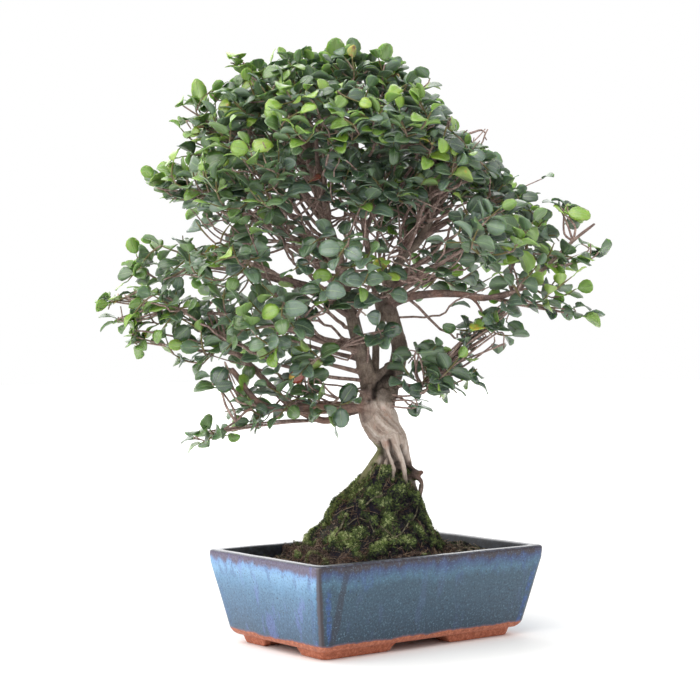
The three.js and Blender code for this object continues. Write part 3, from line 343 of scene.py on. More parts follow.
def stream(seed):
    """Seeded numbers from 0 to 1, the same on every run."""
    state = seed & 0xFFFFFFFF

    def draw():
        nonlocal state
        state = (state + 0x6D2B79F5) & 0xFFFFFFFF
        t = ((state ^ (state >> 15)) * (1 | state)) & 0xFFFFFFFF
        t = ((t + (t ^ (t >> 7)) * (61 | t)) & 0xFFFFFFFF) ^ t
        return (t ^ (t >> 14)) / 4294967296

    return draw


def stray(draw, size):
    """A random step of up to a size each way along each axis."""
    return np.array([draw() - 0.5, draw() - 0.5, draw() - 0.5]) * 2 * size


def between(low, high, share):
    return low + (high - low) * share


def rounded(value):
    return math.floor(value + 0.5)


def unit(v):
    return v / np.linalg.norm(v)


def smoothstep(value, low, high):
    t = np.clip((value - low) / (high - low), 0, 1)
    return t * t * (3 - 2 * t)


def smooth_line(rows, pieces):
    """A smooth line through rows of numbers, as pieces + 1 rows."""
    rows = np.asarray(rows, float)
    around = np.vstack([2 * rows[0] - rows[1], rows, 2 * rows[-1] - rows[-2]])
    spans = len(rows) - 1
    made = []
    for i in range(pieces + 1):
        whole = min(int(i * spans / pieces), spans - 1)
        t = i * spans / pieces - whole
        a, b, c, d = around[whole:whole + 4]
        made.append((2 * t**3 - 3 * t**2 + 1) * b + (t**3 - 2 * t**2 + t) * 0.5 * (c - a)
                    + (3 * t**2 - 2 * t**3) * c + (t**3 - t**2) * 0.5 * (d - b))
    return np.array(made)


def length_of(line):
    return float(np.linalg.norm(np.diff(np.asarray(line, float)[:, :3], axis=0), axis=1).sum())


def frames_along(line):
    """At each point of a line: two directions across it that hardly turn on the way."""
    steps = np.gradient(line, axis=0)
    along = steps / np.linalg.norm(steps, axis=1)[:, None]
    side = np.array([1.0, 0.0, 0.0]) if abs(along[0][2]) > 0.9 else UP
    sides = []
    for a in along:
        side = unit(side - a * np.dot(side, a))
        sides.append(side)
    sides = np.array(sides)
    return sides, np.cross(along, sides)


def turned(x, y, angle):
    """A place of the plan turned about the pot's middle."""
    c, s = math.cos(angle), math.sin(angle)
    return x * c - y * s, x * s + y * c


def tree_to_pot(x, y):
    return turned(x, y, TREE_TURN)


def pot_to_tree(x, y):
    return turned(x, y, -TREE_TURN)


def pot_to_part(points):
    """From the pot's frame in millimetres to the part's in metres."""
    return (np.array(points) + POT_MIDDLE) * MM


def part_to_pot(points):
    return points / MM - POT_MIDDLE


def part_to_tree(points):
    place = part_to_pot(points)
    x, y = pot_to_tree(place[:, 0], place[:, 1])
    return np.column_stack([x, y, place[:, 2]])


def tree_to_part(points):
    points = np.array(points)
    x, y = tree_to_pot(points[:, 0], points[:, 1])
    return pot_to_part(np.column_stack([x, y, points[:, 2]]))


def noise_at(points, size, seed=0.0):
    """Smooth noise from -1 to 1 at points, with lumps of a size in the points' own unit."""
    shift = Vector((seed, seed * 1.7, -seed))
    return np.array([noise.noise(Vector(p) / size + shift) for p in points])


# Meshes and pieces

def mesh_of(name, points, faces, edges=(), smooth=True):
    """A mesh from points in metres."""
    mesh = bpy.data.meshes.new(name)
    mesh.from_pydata([tuple(p) for p in points], edges, faces)
    mesh.update()
    if smooth:
        mesh.shade_smooth()
    return mesh


def object_of(name, mesh):
    made = bpy.data.objects.new(name, mesh)
    bpy.context.scene.collection.objects.link(made)
    return made


def facing_out(mesh):
    """Drops points that no face uses, and turns every face of closed shells outwards."""
    work = bmesh.new()
    work.from_mesh(mesh)
    loose = [v for v in work.verts if not v.link_faces]
    bmesh.ops.delete(work, geom=loose, context="VERTS")
    bmesh.ops.recalc_face_normals(work, faces=work.faces)
    work.to_mesh(mesh)
    work.free()


def shells_of(name, points, faces):
    """An object made of closed shells, from points in metres."""
    mesh = mesh_of(name, points, faces)
    facing_out(mesh)
    return object_of(name, mesh)


def give_numbers(mesh, name, values, kind="FLOAT"):
    """Stores a number, a direction or a turn at each point of a mesh."""
    attribute = mesh.attributes.new(name, kind, "POINT")
    stored = np.asarray(values, np.int32 if kind == "INT" else np.float32).ravel()
    attribute.data.foreach_set("vector" if kind == "FLOAT_VECTOR" else "value", stored)


def numbers_of(mesh, name):
    values = np.zeros(len(mesh.vertices), np.float32)
    mesh.attributes[name].data.foreach_get("value", values)
    return values


def rows_of(collection, key):
    values = np.zeros(len(collection) * 3, np.float32)
    collection.foreach_get(key, values)
    return values.reshape(-1, 3).astype(float)


def points_of(mesh):
    return rows_of(mesh.vertices, "co")


def normals_of(mesh):
    return rows_of(mesh.vertex_normals, "vector")


def apply_modifiers(thing):
    """Works an object's modifiers into its mesh."""
    seen = thing.evaluated_get(bpy.context.evaluated_depsgraph_get())
    mesh = bpy.data.meshes.new_from_object(seen)
    thing.modifiers.clear()
    thing.data = mesh
    mesh.name = thing.name


def run_nodes(thing, tree, ids, values):
    """Works a tree of geometry nodes into an object's mesh, with the values of its named inputs."""
    modifier = thing.modifiers.new("nodes", "NODES")
    modifier.node_group = tree
    for key, value in values.items():
        modifier[ids[key]] = value
    apply_modifiers(thing)


def settle(piece, slot, *nodes):
    """Makes a finished piece part of the object."""
    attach(piece, "root")
    if nodes:
        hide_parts(*nodes)


def collection_of(name, things):
    made = bpy.data.collections.new(name)
    for thing in things:
        bpy.context.scene.collection.objects.unlink(thing)
        made.objects.link(thing)
    return made


def remove_collection(collection):
    for thing in list(collection.objects):
        bpy.data.objects.remove(thing)
    bpy.data.collections.remove(collection)


def join_rings(faces, first, rings, sides):
    """Adds the faces between rings of points that follow each other."""
    for r in range(rings - 1):
        for k in range(sides):
            here, there = first + r * sides + k, first + r * sides + (k + 1) % sides
            faces.append((here, there, there + sides, here + sides))


def tube(points, faces, line, radii, sides):
    """Adds a round closed tube along a line to the lists of points and faces."""
    across, lift = frames_along(line)
    first = len(points)
    for at, a, b, radius in zip(line, across, lift, radii):
        for k in range(sides):
            turn = 2 * math.pi * k / sides
            points.append(at + radius * (math.cos(turn) * a + math.sin(turn) * b))
    join_rings(faces, first, len(line), sides)
    last = first + (len(line) - 1) * sides
    faces.append(tuple(first + k for k in reversed(range(sides))))
    faces.append(tuple(last + k for k in range(sides)))


# Nodes

class Number:
    """A number that a node works out. It is added, taken away and multiplied like any other."""

    def __init__(self, graph, socket):
        self.graph, self.socket = graph, socket

    def __add__(self, other):
        return self.graph.math("ADD", self, other)

    def __sub__(self, other):
        return self.graph.math("SUBTRACT", self, other)

    def __rsub__(self, other):
        return self.graph.math("SUBTRACT", other, self)

    def __mul__(self, other):
        return self.graph.math("MULTIPLY", self, other)

    def __abs__(self):
        return self.graph.math("ABSOLUTE", self)


class Graph:
    """Adds nodes to a tree of nodes and links them."""

    def __init__(self, tree):
        self.tree = tree

    def node(self, kind, inputs=(), **settings):
        made = self.tree.nodes.new(kind)
        for name, value in settings.items():
            setattr(made, name, value)
        for key, value in dict(inputs).items():
            self.give(made.inputs[key], value)
        return made

    def give(self, socket, value):
        if isinstance(value, Number):
            value = value.socket
        if isinstance(value, bpy.types.NodeSocket):
            self.tree.links.new(value, socket)
        else:
            socket.default_value = value

    def math(self, operation, a, b=0.0):
        return Number(self, self.node("ShaderNodeMath", {0: a, 1: b}, operation=operation).outputs[0])


class Finish(Graph):
    """A material made of nodes, painted in coats. Sizes are in millimetres."""

    def __init__(self, name, **shader):
        self.material = bpy.data.materials.new(name)
        self.material.use_nodes = True
        super().__init__(self.material.node_tree)
        self.shader = self.tree.nodes["Principled BSDF"]
        self.place = self.node("ShaderNodeTexCoord").outputs["Object"]
        self.colour = None
        for key, value in shader.items():
            self.set(key.replace("_", " "), value)

    def set(self, key, value):
        self.give(self.shader.inputs[key], value)

    def number(self, name):
        return Number(self, self.node("ShaderNodeAttribute", attribute_name=name).outputs["Fac"])

    def direction(self, name):
        return self.node("ShaderNodeAttribute", attribute_name=name).outputs["Vector"]

    def part(self, vector, axis):
        return Number(self, self.node("ShaderNodeSeparateXYZ", {0: vector}).outputs[axis])

    def stretched(self, scale, vector=None, turn=(0, 0, 0)):
        """Coordinates for a pattern that is 1 / scale times as long along each axis."""
        inputs = {"Vector": vector or self.place, "Scale": scale, "Rotation": turn}
        return self.node("ShaderNodeMapping", inputs).outputs[0]

    def clouds(self, size, vector=None, detail=3, rough=0.55, unit_size=MM):
        inputs = {"Vector": vector or self.place, "Scale": 1 / (size * unit_size), "Detail": detail,
                  "Roughness": rough}
        return Number(self, self.node("ShaderNodeTexNoise", inputs).outputs["Fac"])

    def cells(self, size, vector=None, feature="F1", output="Distance"):
        inputs = {"Vector": vector or self.place, "Scale": 1 / (size * MM)}
        return Number(self, self.node("ShaderNodeTexVoronoi", inputs, feature=feature).outputs[output])

    def level(self, value, low, high):
        """0 below low, 1 above high, and smooth between; low may be above high."""
        inputs = {"Value": value, "From Min": low, "From Max": high}
        made = self.node("ShaderNodeMapRange", inputs, interpolation_type="SMOOTHSTEP")
        return Number(self, made.outputs[0])

    def ramp(self, value, stops):
        """A colour for a number, from stops that are each a place and the colour's red, green and blue."""
        made = self.node("ShaderNodeValToRGB", {0: value})
        ends = made.color_ramp.elements
        while len(ends) < len(stops):
            ends.new(0.5)
        for end, (place, *colour) in zip(ends, stops):
            end.position, end.color = place, shade(*colour)
        return made.outputs["Color"]

    def mixed(self, share, a, b):
        return self.node("ShaderNodeMix", {0: share, 6: a, 7: b}, data_type="RGBA").outputs[2]

    def paint(self, share, colour):
        """Lays a colour over the ones before it."""
        self.colour = self.mixed(share, self.colour, colour)

    def finished(self, height, deep):
        """The material, with its surface raised by height times deep millimetres."""
        self.set("Base Color", self.colour)
        self.set("Normal", self.node("ShaderNodeBump", {"Height": height, "Distance": deep * MM}).outputs[0])
        return self.material


def shade(red, green, blue):
    """A colour as seen on a screen, from 0 to 255, as the light that a shader takes."""
    def light(v):
        v /= 255
        return v / 12.92 if v <= 0.04045 else ((v + 0.055) / 1.055) ** 2.4
    return (light(red), light(green), light(blue), 1.0)


def grey(light):
    return (light, light, light, 1)


def tree_inputs(tree, kinds):
    """Adds the named inputs of a geometry tree, and returns their identifiers."""
    tree.interface.new_socket("Geometry", in_out="INPUT", socket_type="NodeSocketGeometry")
    tree.interface.new_socket("Geometry", in_out="OUTPUT", socket_type="NodeSocketGeometry")
    return {name: tree.interface.new_socket(name, in_out="INPUT", socket_type=f"NodeSocket{kind}").identifier
            for name, kind in kinds.items()}


def stored(g, name, kind="FLOAT"):
    """The numbers that a mesh stores at its points, in a geometry tree."""
    return g.node("GeometryNodeInputNamedAttribute", {"Name": name}, data_type=kind).outputs[0]


def above(g, value, limit):
    return g.node("FunctionNodeCompare", {0: value, 1: limit}, operation="GREATER_THAN").outputs[0]


def forms_of(g, collection):
    inputs = {"Collection": collection, "Separate Children": True, "Reset Children": True}
    return g.node("GeometryNodeCollectionInfo", inputs).outputs[0]


def with_finish(g, geometry, finish):
    return g.node("GeometryNodeSetMaterial", {"Geometry": geometry, "Material": finish}).outputs[0]


# Materials

def glaze_finish():
    """Blue glaze that ran down over a brown rim and stops above an unglazed clay foot."""
    f = Finish("blue_run_glaze", Coat_Weight=0.3, Coat_Roughness=0.12, Specular_IOR_Level=0.4)
    height = f.part(f.place, "Z") * (1 / MM)
    short, corner, inside = f.number("short_side"), f.number("from_corner"), f.number("inside")
    runs = f.clouds(8, f.stretched((1, 1, 0.2), turn=(0.12, 0.2, 0)), detail=5, rough=0.65)
    wide_runs = f.clouds(26, f.stretched((1, 1, 0.5)))
    blots = f.clouds(4, detail=5, rough=0.7)
    specks = f.clouds(1.7, rough=0.8)
    share_up = (height + (runs - 0.5) * 15 + (wide_runs - 0.5) * 12) * 0.01

    # Each side has a ramp of its own: the short sides' ramp is lighter, partly the glaze's own colour and
    # partly painted light, as the short side seen faces the main lamp
    long_face = f.ramp(share_up, [
        (0.12, 36, 58, 76), (0.34, 46, 73, 93), (0.59, 50, 80, 100), (0.65, 66, 104, 128), (0.7, 54, 85, 120),
        (0.735, 44, 62, 104), (0.756, 44, 44, 64), (0.776, 50, 38, 46), (0.83, 42, 36, 44),
    ])
    short_face_with_painted_light = f.ramp(share_up, [
        (0.12, 56, 82, 106), (0.32, 68, 101, 132), (0.48, 82, 120, 152), (0.58, 98, 142, 178),
        (0.67, 126, 170, 208), (0.715, 116, 154, 200), (0.733, 104, 112, 146), (0.753, 96, 86, 108),
        (0.83, 108, 100, 120),
    ])
    f.colour = f.mixed(short, long_face, short_face_with_painted_light)
    slanted = f.clouds(13, f.stretched((1, 1, 0.16), turn=(0.3, 0.45, 0)), detail=4, rough=0.6)
    violet = f.level(slanted, 0.56, 0.64) * f.level(wide_runs, 0.38, 0.5) * (short * 0.34 + 0.08)
    f.paint(violet, shade(106, 118, 188))
    drips = f.level(f.clouds(9, f.stretched((1, 1, 0.25)), detail=4, rough=0.7), 0.52, 0.62)
    f.paint(drips * f.level(share_up, 0.56, 0.64) * f.level(share_up, 0.75, 0.72) * 0.45, shade(52, 78, 134))
    near_end = corner + (runs - 0.5) * 6
    cobalt = f.level(near_end, 5.5, 7.5) * f.level(near_end, 12.5, 10) * f.level(blots, 0.35, 0.6)
    f.paint(cobalt * f.level(height, 64, 54) * (1 - short * 0.7) * 0.75, shade(46, 82, 150))
    off_run = near_end - (height * DARK_RUN["slant"] + DARK_RUN["low"])
    dark_run = f.level(abs(off_run), DARK_RUN["half"], DARK_RUN["half"] * 0.45)
    left = f.level(f.part(f.place, "X"), -20 * MM, -30 * MM)
    f.paint(dark_run * left * (1 - short) * 0.62, shade(36, 32, 48))
    grain = f.level(specks, 0.45, 0.75)
    f.paint(grain * 0.62, shade(18, 28, 42))
    f.paint(f.level(specks, 0.46, 0.27) * 0.52, shade(118, 156, 178))
    pits = f.level(f.cells(7), 0.12, 0.07)
    f.paint(pits * 0.7, shade(26, 24, 30))
    # Wear on the corners, painted lighter on the short sides as painted light
    worn = f.level(corner + blots * 3, 6.2, 4.2)
    f.paint(worn * 0.9, f.mixed(short, shade(54, 44, 48), shade(84, 76, 80)))
    rim = f.level(height + blots * 1.6, 79.4, 80.8)
    f.paint(rim, f.mixed(f.level(blots, 0.4, 0.62), shade(40, 38, 48), shade(82, 86, 102)))
    f.paint(inside, f.mixed(f.level(blots, 0.4, 0.7), shade(24, 26, 32), shade(48, 54, 64)))
    edge = height + (f.clouds(11, f.stretched((1, 1, 0.2)), detail=4) - 0.5) * 5
    thin_line = f.level(edge, 12.2, 12.8) * f.level(edge, 14.4, 13.0)
    f.paint(thin_line * 0.6, shade(120, 86, 96))

    clay_grain = f.clouds(3, detail=5, rough=0.75)
    clay = f.ramp(clay_grain, [(0.3, 130, 70, 50), (0.5, 174, 100, 72), (0.7, 206, 134, 104)])
    stains = f.level(f.clouds(10, f.stretched((1, 1, 1.8)), detail=5, rough=0.7), 0.58, 0.72)
    clay = f.mixed(stains, clay, shade(108, 58, 44))
    glazed = f.math("MAXIMUM", f.level(edge, 12.2, 12.8), inside)
    f.colour = f.mixed(glazed, clay, f.colour)
    f.set("Roughness", f.mixed(glazed, grey(0.8), f.mixed(grain, grey(0.28), grey(0.42))))
    return f.finished(f.mixed(glazed, clay_grain, specks * 0.35 + runs * 0.6), 0.35)


def bark_finish():
    """Pale twisted wood on the trunk, mauve brown on the limbs, painted shade in hollows and clefts, and
    green near the moss.
    """
    f = Finish("bark", Roughness=0.82, Specular_IOR_Level=0.3)
    grain = f.direction("grain")
    fibres = f.clouds(1.1, f.stretched((1, 1, 0.22), grain), detail=5, rough=0.7, unit_size=1)
    strands = f.clouds(3.4, f.stretched((1, 1, 0.16), grain), unit_size=1)
    patches = f.clouds(13, detail=4, rough=0.6)
    fine = f.clouds(1.3, detail=4, rough=0.7)
    pale = f.number("pale")
    thick = f.ramp(strands * 0.6 + fibres * 0.4, [
        (0.3, 96, 80, 72), (0.41, 146, 129, 118), (0.52, 180, 165, 154), (0.62, 202, 190, 180),
        (0.74, 220, 211, 205),
    ])
    thin = f.ramp(fibres * 0.5 + patches * 0.5, [
        (0.32, 76, 61, 60), (0.46, 124, 104, 98), (0.58, 164, 142, 132), (0.72, 204, 184, 170),
    ])
    stem = f.ramp(fine * 0.5 + patches * 0.5, [
        (0.34, 62, 54, 47), (0.46, 98, 89, 80), (0.56, 126, 116, 104), (0.68, 160, 151, 135),
    ])
    f.colour = f.mixed(f.level(pale + (patches - 0.5) * 1.1, 0.2, 0.8), thin, thick)
    f.paint(f.number("stem") * 0.75, stem)
    blush = f.level(f.clouds(5, detail=4, rough=0.7), 0.54, 0.68)
    f.paint(blush * pale * 0.4, shade(186, 146, 130))
    lichen = f.level(f.clouds(4, detail=5, rough=0.8), 0.58, 0.66)
    f.paint(lichen * pale * 0.4, shade(132, 128, 92))
    f.paint(f.level(fine, 0.58, 0.7) * pale * 0.45, shade(96, 80, 74))
    flake_edges = f.cells(4, f.stretched((1, 1, 0.4), turn=(0.2, 0.1, 0)), feature="DISTANCE_TO_EDGE")
    f.paint(f.level(flake_edges, 0.12, 0.0) * f.level(pale, 0.95, 0.4) * 0.3, shade(58, 48, 42))
    f.paint(f.number("warm") * f.level(patches, 0.38, 0.6) * 0.5, shade(150, 98, 78))
    olive = f.mixed(fibres, shade(74, 78, 46), shade(142, 144, 96))
    f.paint(f.number("olive") * f.level(patches, 0.2, 0.45) * 0.94, olive)
    damp = f.mixed(fine, shade(40, 32, 26), shade(112, 98, 80))
    f.paint(f.number("damp") * f.level(fine, 0.3, 0.55) * 0.75, damp)
    f.paint(f.number("mossy"), f.mixed(f.level(fine, 0.35, 0.65), shade(34, 40, 22), shade(98, 106, 54)))
    # Painted shade in hollows and clefts, together with the dark colour of the thin stubs and the fingers'
    # ends
    f.paint(f.number("hollow"), shade(28, 20, 16))
    return f.finished(fibres + fine * 0.6, 0.5)


def twig_finish():
    f = Finish("twig_bark", Roughness=0.75, Specular_IOR_Level=0.3)
    rings = f.clouds(3, detail=4, rough=0.7)
    f.colour = f.ramp(rings, [(0.3, 92, 74, 72), (0.5, 150, 126, 118), (0.7, 200, 178, 166)])
    f.paint(f.number("fresh"), shade(108, 100, 64))
    return f.finished(rings, 0.2)


def leaf_finish():
    """Small glossy leaves with a paler rib, side veins and underside, and a pale bluish coat on some that is
    partly waxy bloom and partly painted sheen.
    """
    f = Finish("leaf", Specular_IOR_Level=0.85, Coat_Weight=0.5, Coat_Roughness=0.26, Subsurface_Weight=0.4,
               Subsurface_Radius=(0.6, 1.0, 0.2), Subsurface_Scale=1.6 * MM)
    blade = f.direction("blade")
    across, down, face = (f.part(blade, axis) for axis in "XYZ")
    out = abs(across)
    tint = f.number("tint")
    patches = f.clouds(6)
    f.colour = f.ramp(tint + (patches - 0.5) * 0.18, [
        (0.02, 35, 54, 45), (0.25, 50, 75, 55), (0.5, 72, 101, 60), (0.72, 102, 134, 62),
        (0.88, 130, 168, 52), (0.955, 160, 184, 66), (0.975, 206, 160, 52), (0.995, 140, 52, 40),
    ])
    # A pale bluish coat on some leaves at random: partly a waxy bloom, partly a painted sheen
    waxy_bloom_and_painted_sheen = f.level(f.math("FRACT", tint * 57.3), 0.35, 1.0) * f.level(tint, 0.7, 0.6)
    f.paint(waxy_bloom_and_painted_sheen * 0.4, shade(140, 164, 150))
    rib = f.level(out - (1 - down) * 0.07, 0.055, 0.0)
    wave = abs(f.math("FRACT", down * 7.0 - out * 2.4) - 0.5)
    veins = f.level(wave, 0.09, 0.0) * f.level(out, 1.0, 0.75)
    lines = f.math("MAXIMUM", rib, veins * 0.45)
    pale = f.mixed(0.5, f.colour, shade(150, 176, 120))
    f.paint(lines * 0.7, pale)
    f.paint(f.level(out, 0.88, 1.0) * 0.35, pale)
    under = f.level(face, 0.0, -0.3)
    f.paint(under * 0.6, f.mixed(0.5, f.colour, shade(122, 148, 110)))
    f.set("Roughness", under * 0.25 + (patches * 0.2 + 0.24))
    return f.finished(patches * 0.3 - lines, 0.25)


def moss_finish():
    """Olive moss, bright on its cushions and nearly black between them, partly its own tone and partly
    painted light on the tops and painted shade between; lighter on the left as painted light; with brown
    spots and bare peat.
    """
    f = Finish("moss", Roughness=0.95, Specular_IOR_Level=0.15)
    fine = f.clouds(1.5, detail=5, rough=0.8)
    patches = f.clouds(11, detail=4, rough=0.6)
    # The tone follows the stored rise: partly the moss's own tone, partly painted light on cushion tops and
    # on the left side, and painted shade between cushions
    tone = f.number("rise") * 0.42 + (fine * 0.4 + patches * 0.4)
    tone = tone + (f.clouds(24, detail=2) - 0.5) * 0.7 + (f.number("tint") - 0.3) * 0.42
    f.colour = f.ramp(tone, [
        (0.34, 30, 27, 36), (0.48, 50, 50, 50), (0.62, 72, 84, 58), (0.76, 98, 116, 68), (0.92, 140, 156, 92),
        (1.08, 196, 204, 150),
    ])
    brown = f.level(f.clouds(5, rough=0.7), 0.58, 0.66)
    f.paint(brown * 0.7, f.mixed(fine, shade(34, 26, 26), shade(112, 92, 76)))
    strands = f.clouds(1.6, f.stretched((1, 0.4, 1), turn=(0.4, 0.3, 0.9)), detail=5, rough=0.8)
    f.paint(f.number("peat"), f.mixed(f.level(strands, 0.4, 0.64), shade(24, 18, 18), shade(104, 86, 78)))
    return f.finished(fine, 1.2)


def soil_finish():
    f = Finish("soil", Roughness=0.95, Specular_IOR_Level=0.2)
    grains = f.part(f.cells(2.4, output="Color"), "X")
    f.colour = f.ramp(grains * 0.5 + f.clouds(2, detail=5, rough=0.7) * 0.5, [
        (0.15, 32, 28, 25), (0.45, 70, 62, 54), (0.7, 116, 104, 90), (0.93, 168, 152, 130),
    ])
    return f.finished(1 - f.cells(2.4), 1.0)


def needle_finish():
    f = Finish("dry_needles", Roughness=0.85, Specular_IOR_Level=0.3)
    f.colour = f.ramp(f.number("tint"), [(0.1, 70, 50, 44), (0.5, 114, 90, 76), (0.9, 184, 164, 138)])
    f.paint(f.clouds(2.5), shade(84, 58, 40))
    return f.finished(f.clouds(1), 0.2)


def root_finish():
    f = Finish("thin_roots", Roughness=0.8, Specular_IOR_Level=0.3)
    stains = f.clouds(4, detail=4, rough=0.7)
    f.colour = f.ramp(stains, [(0.36, 40, 34, 30), (0.5, 84, 78, 60), (0.66, 134, 128, 106)])
    return f.finished(f.clouds(0.8), 0.3)


def screen_finish():
    f = Finish("screen_plastic", Roughness=0.5)
    f.colour = f.ramp(f.clouds(3), [(0.3, 30, 30, 32), (0.7, 44, 44, 46)])
    return f.finished(f.clouds(0.8, detail=2), 0.1)


# Pot

def pot_outline(inset):
    """The points of the pot's outline at an inset from the rim's, in the same order for every inset."""
    half_x, half_y = POT["length"] / 2 - inset, POT["width"] / 2 - inset
    corner, arc_steps = POT["corner"], OUTLINE_STEPS["arc"]
    flat_x, flat_y = half_x - corner, half_y - corner
    points = []
    for k, (sx, sy) in enumerate([(1, 1), (-1, 1), (-1, -1), (1, -1)]):
        for i in range(arc_steps + 1):
            turn = math.radians(90) * (k + i / arc_steps)
            points.append((sx * flat_x + corner * math.cos(turn), sy * flat_y + corner * math.sin(turn)))
        steps = OUTLINE_STEPS["short" if k % 2 else "long"]
        for i in range(1, steps):
            x, y = (1 - 2 * i / steps) * flat_x, (1 - 2 * i / steps) * flat_y
            points.append([(x, half_y), (-half_x, y), (-x, -half_y), (half_x, -y)][k])
    return np.array(points)


def foot_bottom(x, y):
    """How high the underside is at a place of the outline: on a foot, in a gap or at a foot's end."""
    def lift(place, gap):
        t = np.clip((np.abs(place) - gap / 2) / FOOT["slant"], 0, 1)
        return FOOT["height"] * (0.5 + 0.5 * np.cos(math.pi * t**0.7))
    return np.maximum(lift(x, FOOT["gap_long"]), lift(y, FOOT["gap_short"]))


def cavity_inset(height):
    return POT["rim"] + POT["cavity_taper"] * (POT["height"] - height) / (POT["height"] - POT["floor_top"])


def wall_inset(height):
    return WALL["inset"] + WALL["taper"] * (WALL["top"] - height) / (WALL["top"] - WALL["bottom"])


def pot_rings():
    """The pot's rings from the cavity's floor over the rim to the underside: height and inset."""
    top, floor = POT["height"], POT["floor_top"]
    cavity = [(h, cavity_inset(h)) for h in np.linspace(top - 3.2, floor + 1.4, 10)]
    rim_inside = [(top - below, inset) for below, inset in RIM_INSIDE]
    rim_outside = [(top - below, inset) for below, inset in RIM_OUTSIDE]
    inside = [*rim_inside, *cavity, (floor + 0.4, 23.6), (floor, 25.4)]
    wall = [(h, wall_inset(h)) for h in np.linspace(WALL["top"], WALL["bottom"], WALL["rings"])]
    return [*reversed(inside), *rim_outside, *UNDER_RIM, *wall, *FOOT_OUTSIDE, *UNDERSIDE]


def uneven(x, y, z):
    """A point of the pot moved a little, as on pots made by hand."""
    if z > UNEVEN["above"]:
        wide, high = UNEVEN["swell_size"]
        grow = 1 + UNEVEN["swell"] * noise.noise(Vector((x / wide, y / wide, z / high))) / 100
    else:
        grow = 1
    wave = Vector((x / UNEVEN["wave_size"], y / UNEVEN["wave_size"], 3.0))
    rise = UNEVEN["wave"] * noise.noise(wave) if z > UNEVEN["waves_above"] else 0
    return (x * grow, y * grow, z + rise)


def cut_drains(pot):
    cutters = []
    for x in (-DRAIN["across"], DRAIN["across"]):
        line = np.array([(x, 0, -2.0), (x, 0, POT["floor_top"] + 4.0)])
        points, faces = [], []
        tube(points, faces, line, [DRAIN["radius"]] * 2, 40)
        cutter = shells_of("drain_cutter", pot_to_part(points), faces)
        cut = pot.modifiers.new("drain", "BOOLEAN")
        cut.operation, cut.solver, cut.object = "DIFFERENCE", "EXACT", cutter
        cutters.append(cutter)
    apply_modifiers(pot)
    for cutter in cutters:
        bpy.data.objects.remove(cutter)


def mark_pot(mesh):
    """Stores what the glaze depends on: the way from a corner, which side it is, whose colour is partly
    painted light, and if it is inside.
    """
    co, normals = part_to_pot(points_of(mesh)), normals_of(mesh)
    inset = np.interp(co[:, 2], *zip(*OUTER_PROFILE))
    from_x, from_y = POT["length"] / 2 - np.abs(co[:, 0]), POT["width"] / 2 - np.abs(co[:, 1])
    give_numbers(mesh, "from_corner", np.maximum(np.abs(from_x - inset), np.abs(from_y - inset)))
    give_numbers(mesh, "short_side", (np.abs(normals[:, 0]) > np.abs(normals[:, 1])).astype(float))
    inside = smoothstep(np.minimum(from_x, from_y) - inset, 6.5, 8.5) * (co[:, 2] > POT["floor_top"] - 0.5)
    give_numbers(mesh, "inside", inside)


def make_pot():
    points, faces = [], []
    rings, sides = pot_rings(), len(pot_outline(0))
    for height, inset in rings:
        outline = pot_outline(inset)
        level = np.full(sides, float(height))
        if height <= FOOT["height"]:
            level = np.maximum(level, foot_bottom(outline[:, 0], outline[:, 1]))
        points += [uneven(x, y, z) for (x, y), z in zip(outline, level)]
    join_rings(faces, 0, len(rings), sides)
    faces.append(tuple(range(sides)))
    faces.append(tuple((len(rings) - 1) * sides + k for k in reversed(range(sides))))
    pot = shells_of("glazed_pot", pot_to_part(points), faces)
    cut_drains(pot)
    mark_pot(pot.data)
    pot.data.materials.clear()
    pot.data.materials.append(glaze_finish())
    pot.data.shade_smooth()
    pot.data.set_sharp_from_angle(angle=math.radians(38))
    settle(pot, "glazed_ceramic", "pot")


# Soil

def mound_place(across, depth):
    """A place of the plan from the mound's middle, each way as a share of the mound's reach."""
    side = across - MOUND["across"]
    return side / np.where(side < 0, MOUND["left"], MOUND["right"]), (depth - MOUND["depth"]) / MOUND["deep"]


def mound_share(across, depth):
    return np.hypot(*mound_place(across, depth))


def soil_height(across, depth):
    fall = np.clip((mound_share(across, depth) - MOUND["crown"]) / (1 - MOUND["crown"]), 0, 1)
    broad = np.sin(across * SWELLS["across"] + SWELLS["shift"]) * np.cos(depth * SWELLS["depth"])
    fine = np.sin(depth * SWELLS["fine_depth"] - across * SWELLS["fine_across"])
    mound = MOUND["height"] * (1 + np.cos(math.pi * fall)) / 2
    return SOIL["level"] + SOIL["swell"] * (broad + SWELLS["fine"] * fine) + mound


def beside_root(number, across, depth):
    """How far places of the plan are from a root, and how high and thick the root is there."""
    line = smooth_line(ROOTS[number], 24)
    away = np.hypot(across[:, None] - line[:, 0], depth[:, None] - line[:, 1])
    near = away.argmin(axis=1)
    return away.min(axis=1), line[near, 2], line[near, 3]


def ground_height(across, depth):
    """The soil's height, heaped up in places, and lowered beside roots that run near its surface."""
    ground = soil_height(across, depth)
    for heap_across, heap_depth, high, wide in HEAPS:
        ground = ground + high * np.exp(-((across - heap_across) ** 2 + (depth - heap_depth) ** 2) / wide**2)
    for number in BARED:
        away, axis, radius = beside_root(number, across, depth)
        wanted = axis - BARING["below"] * radius + BARING["slope"] * np.maximum(away - 0.9 * radius, 0)
        share = smoothstep(ground - axis, *BARING["reach"])
        ground = ground - share * np.maximum(ground - wanted, 0)
    return ground


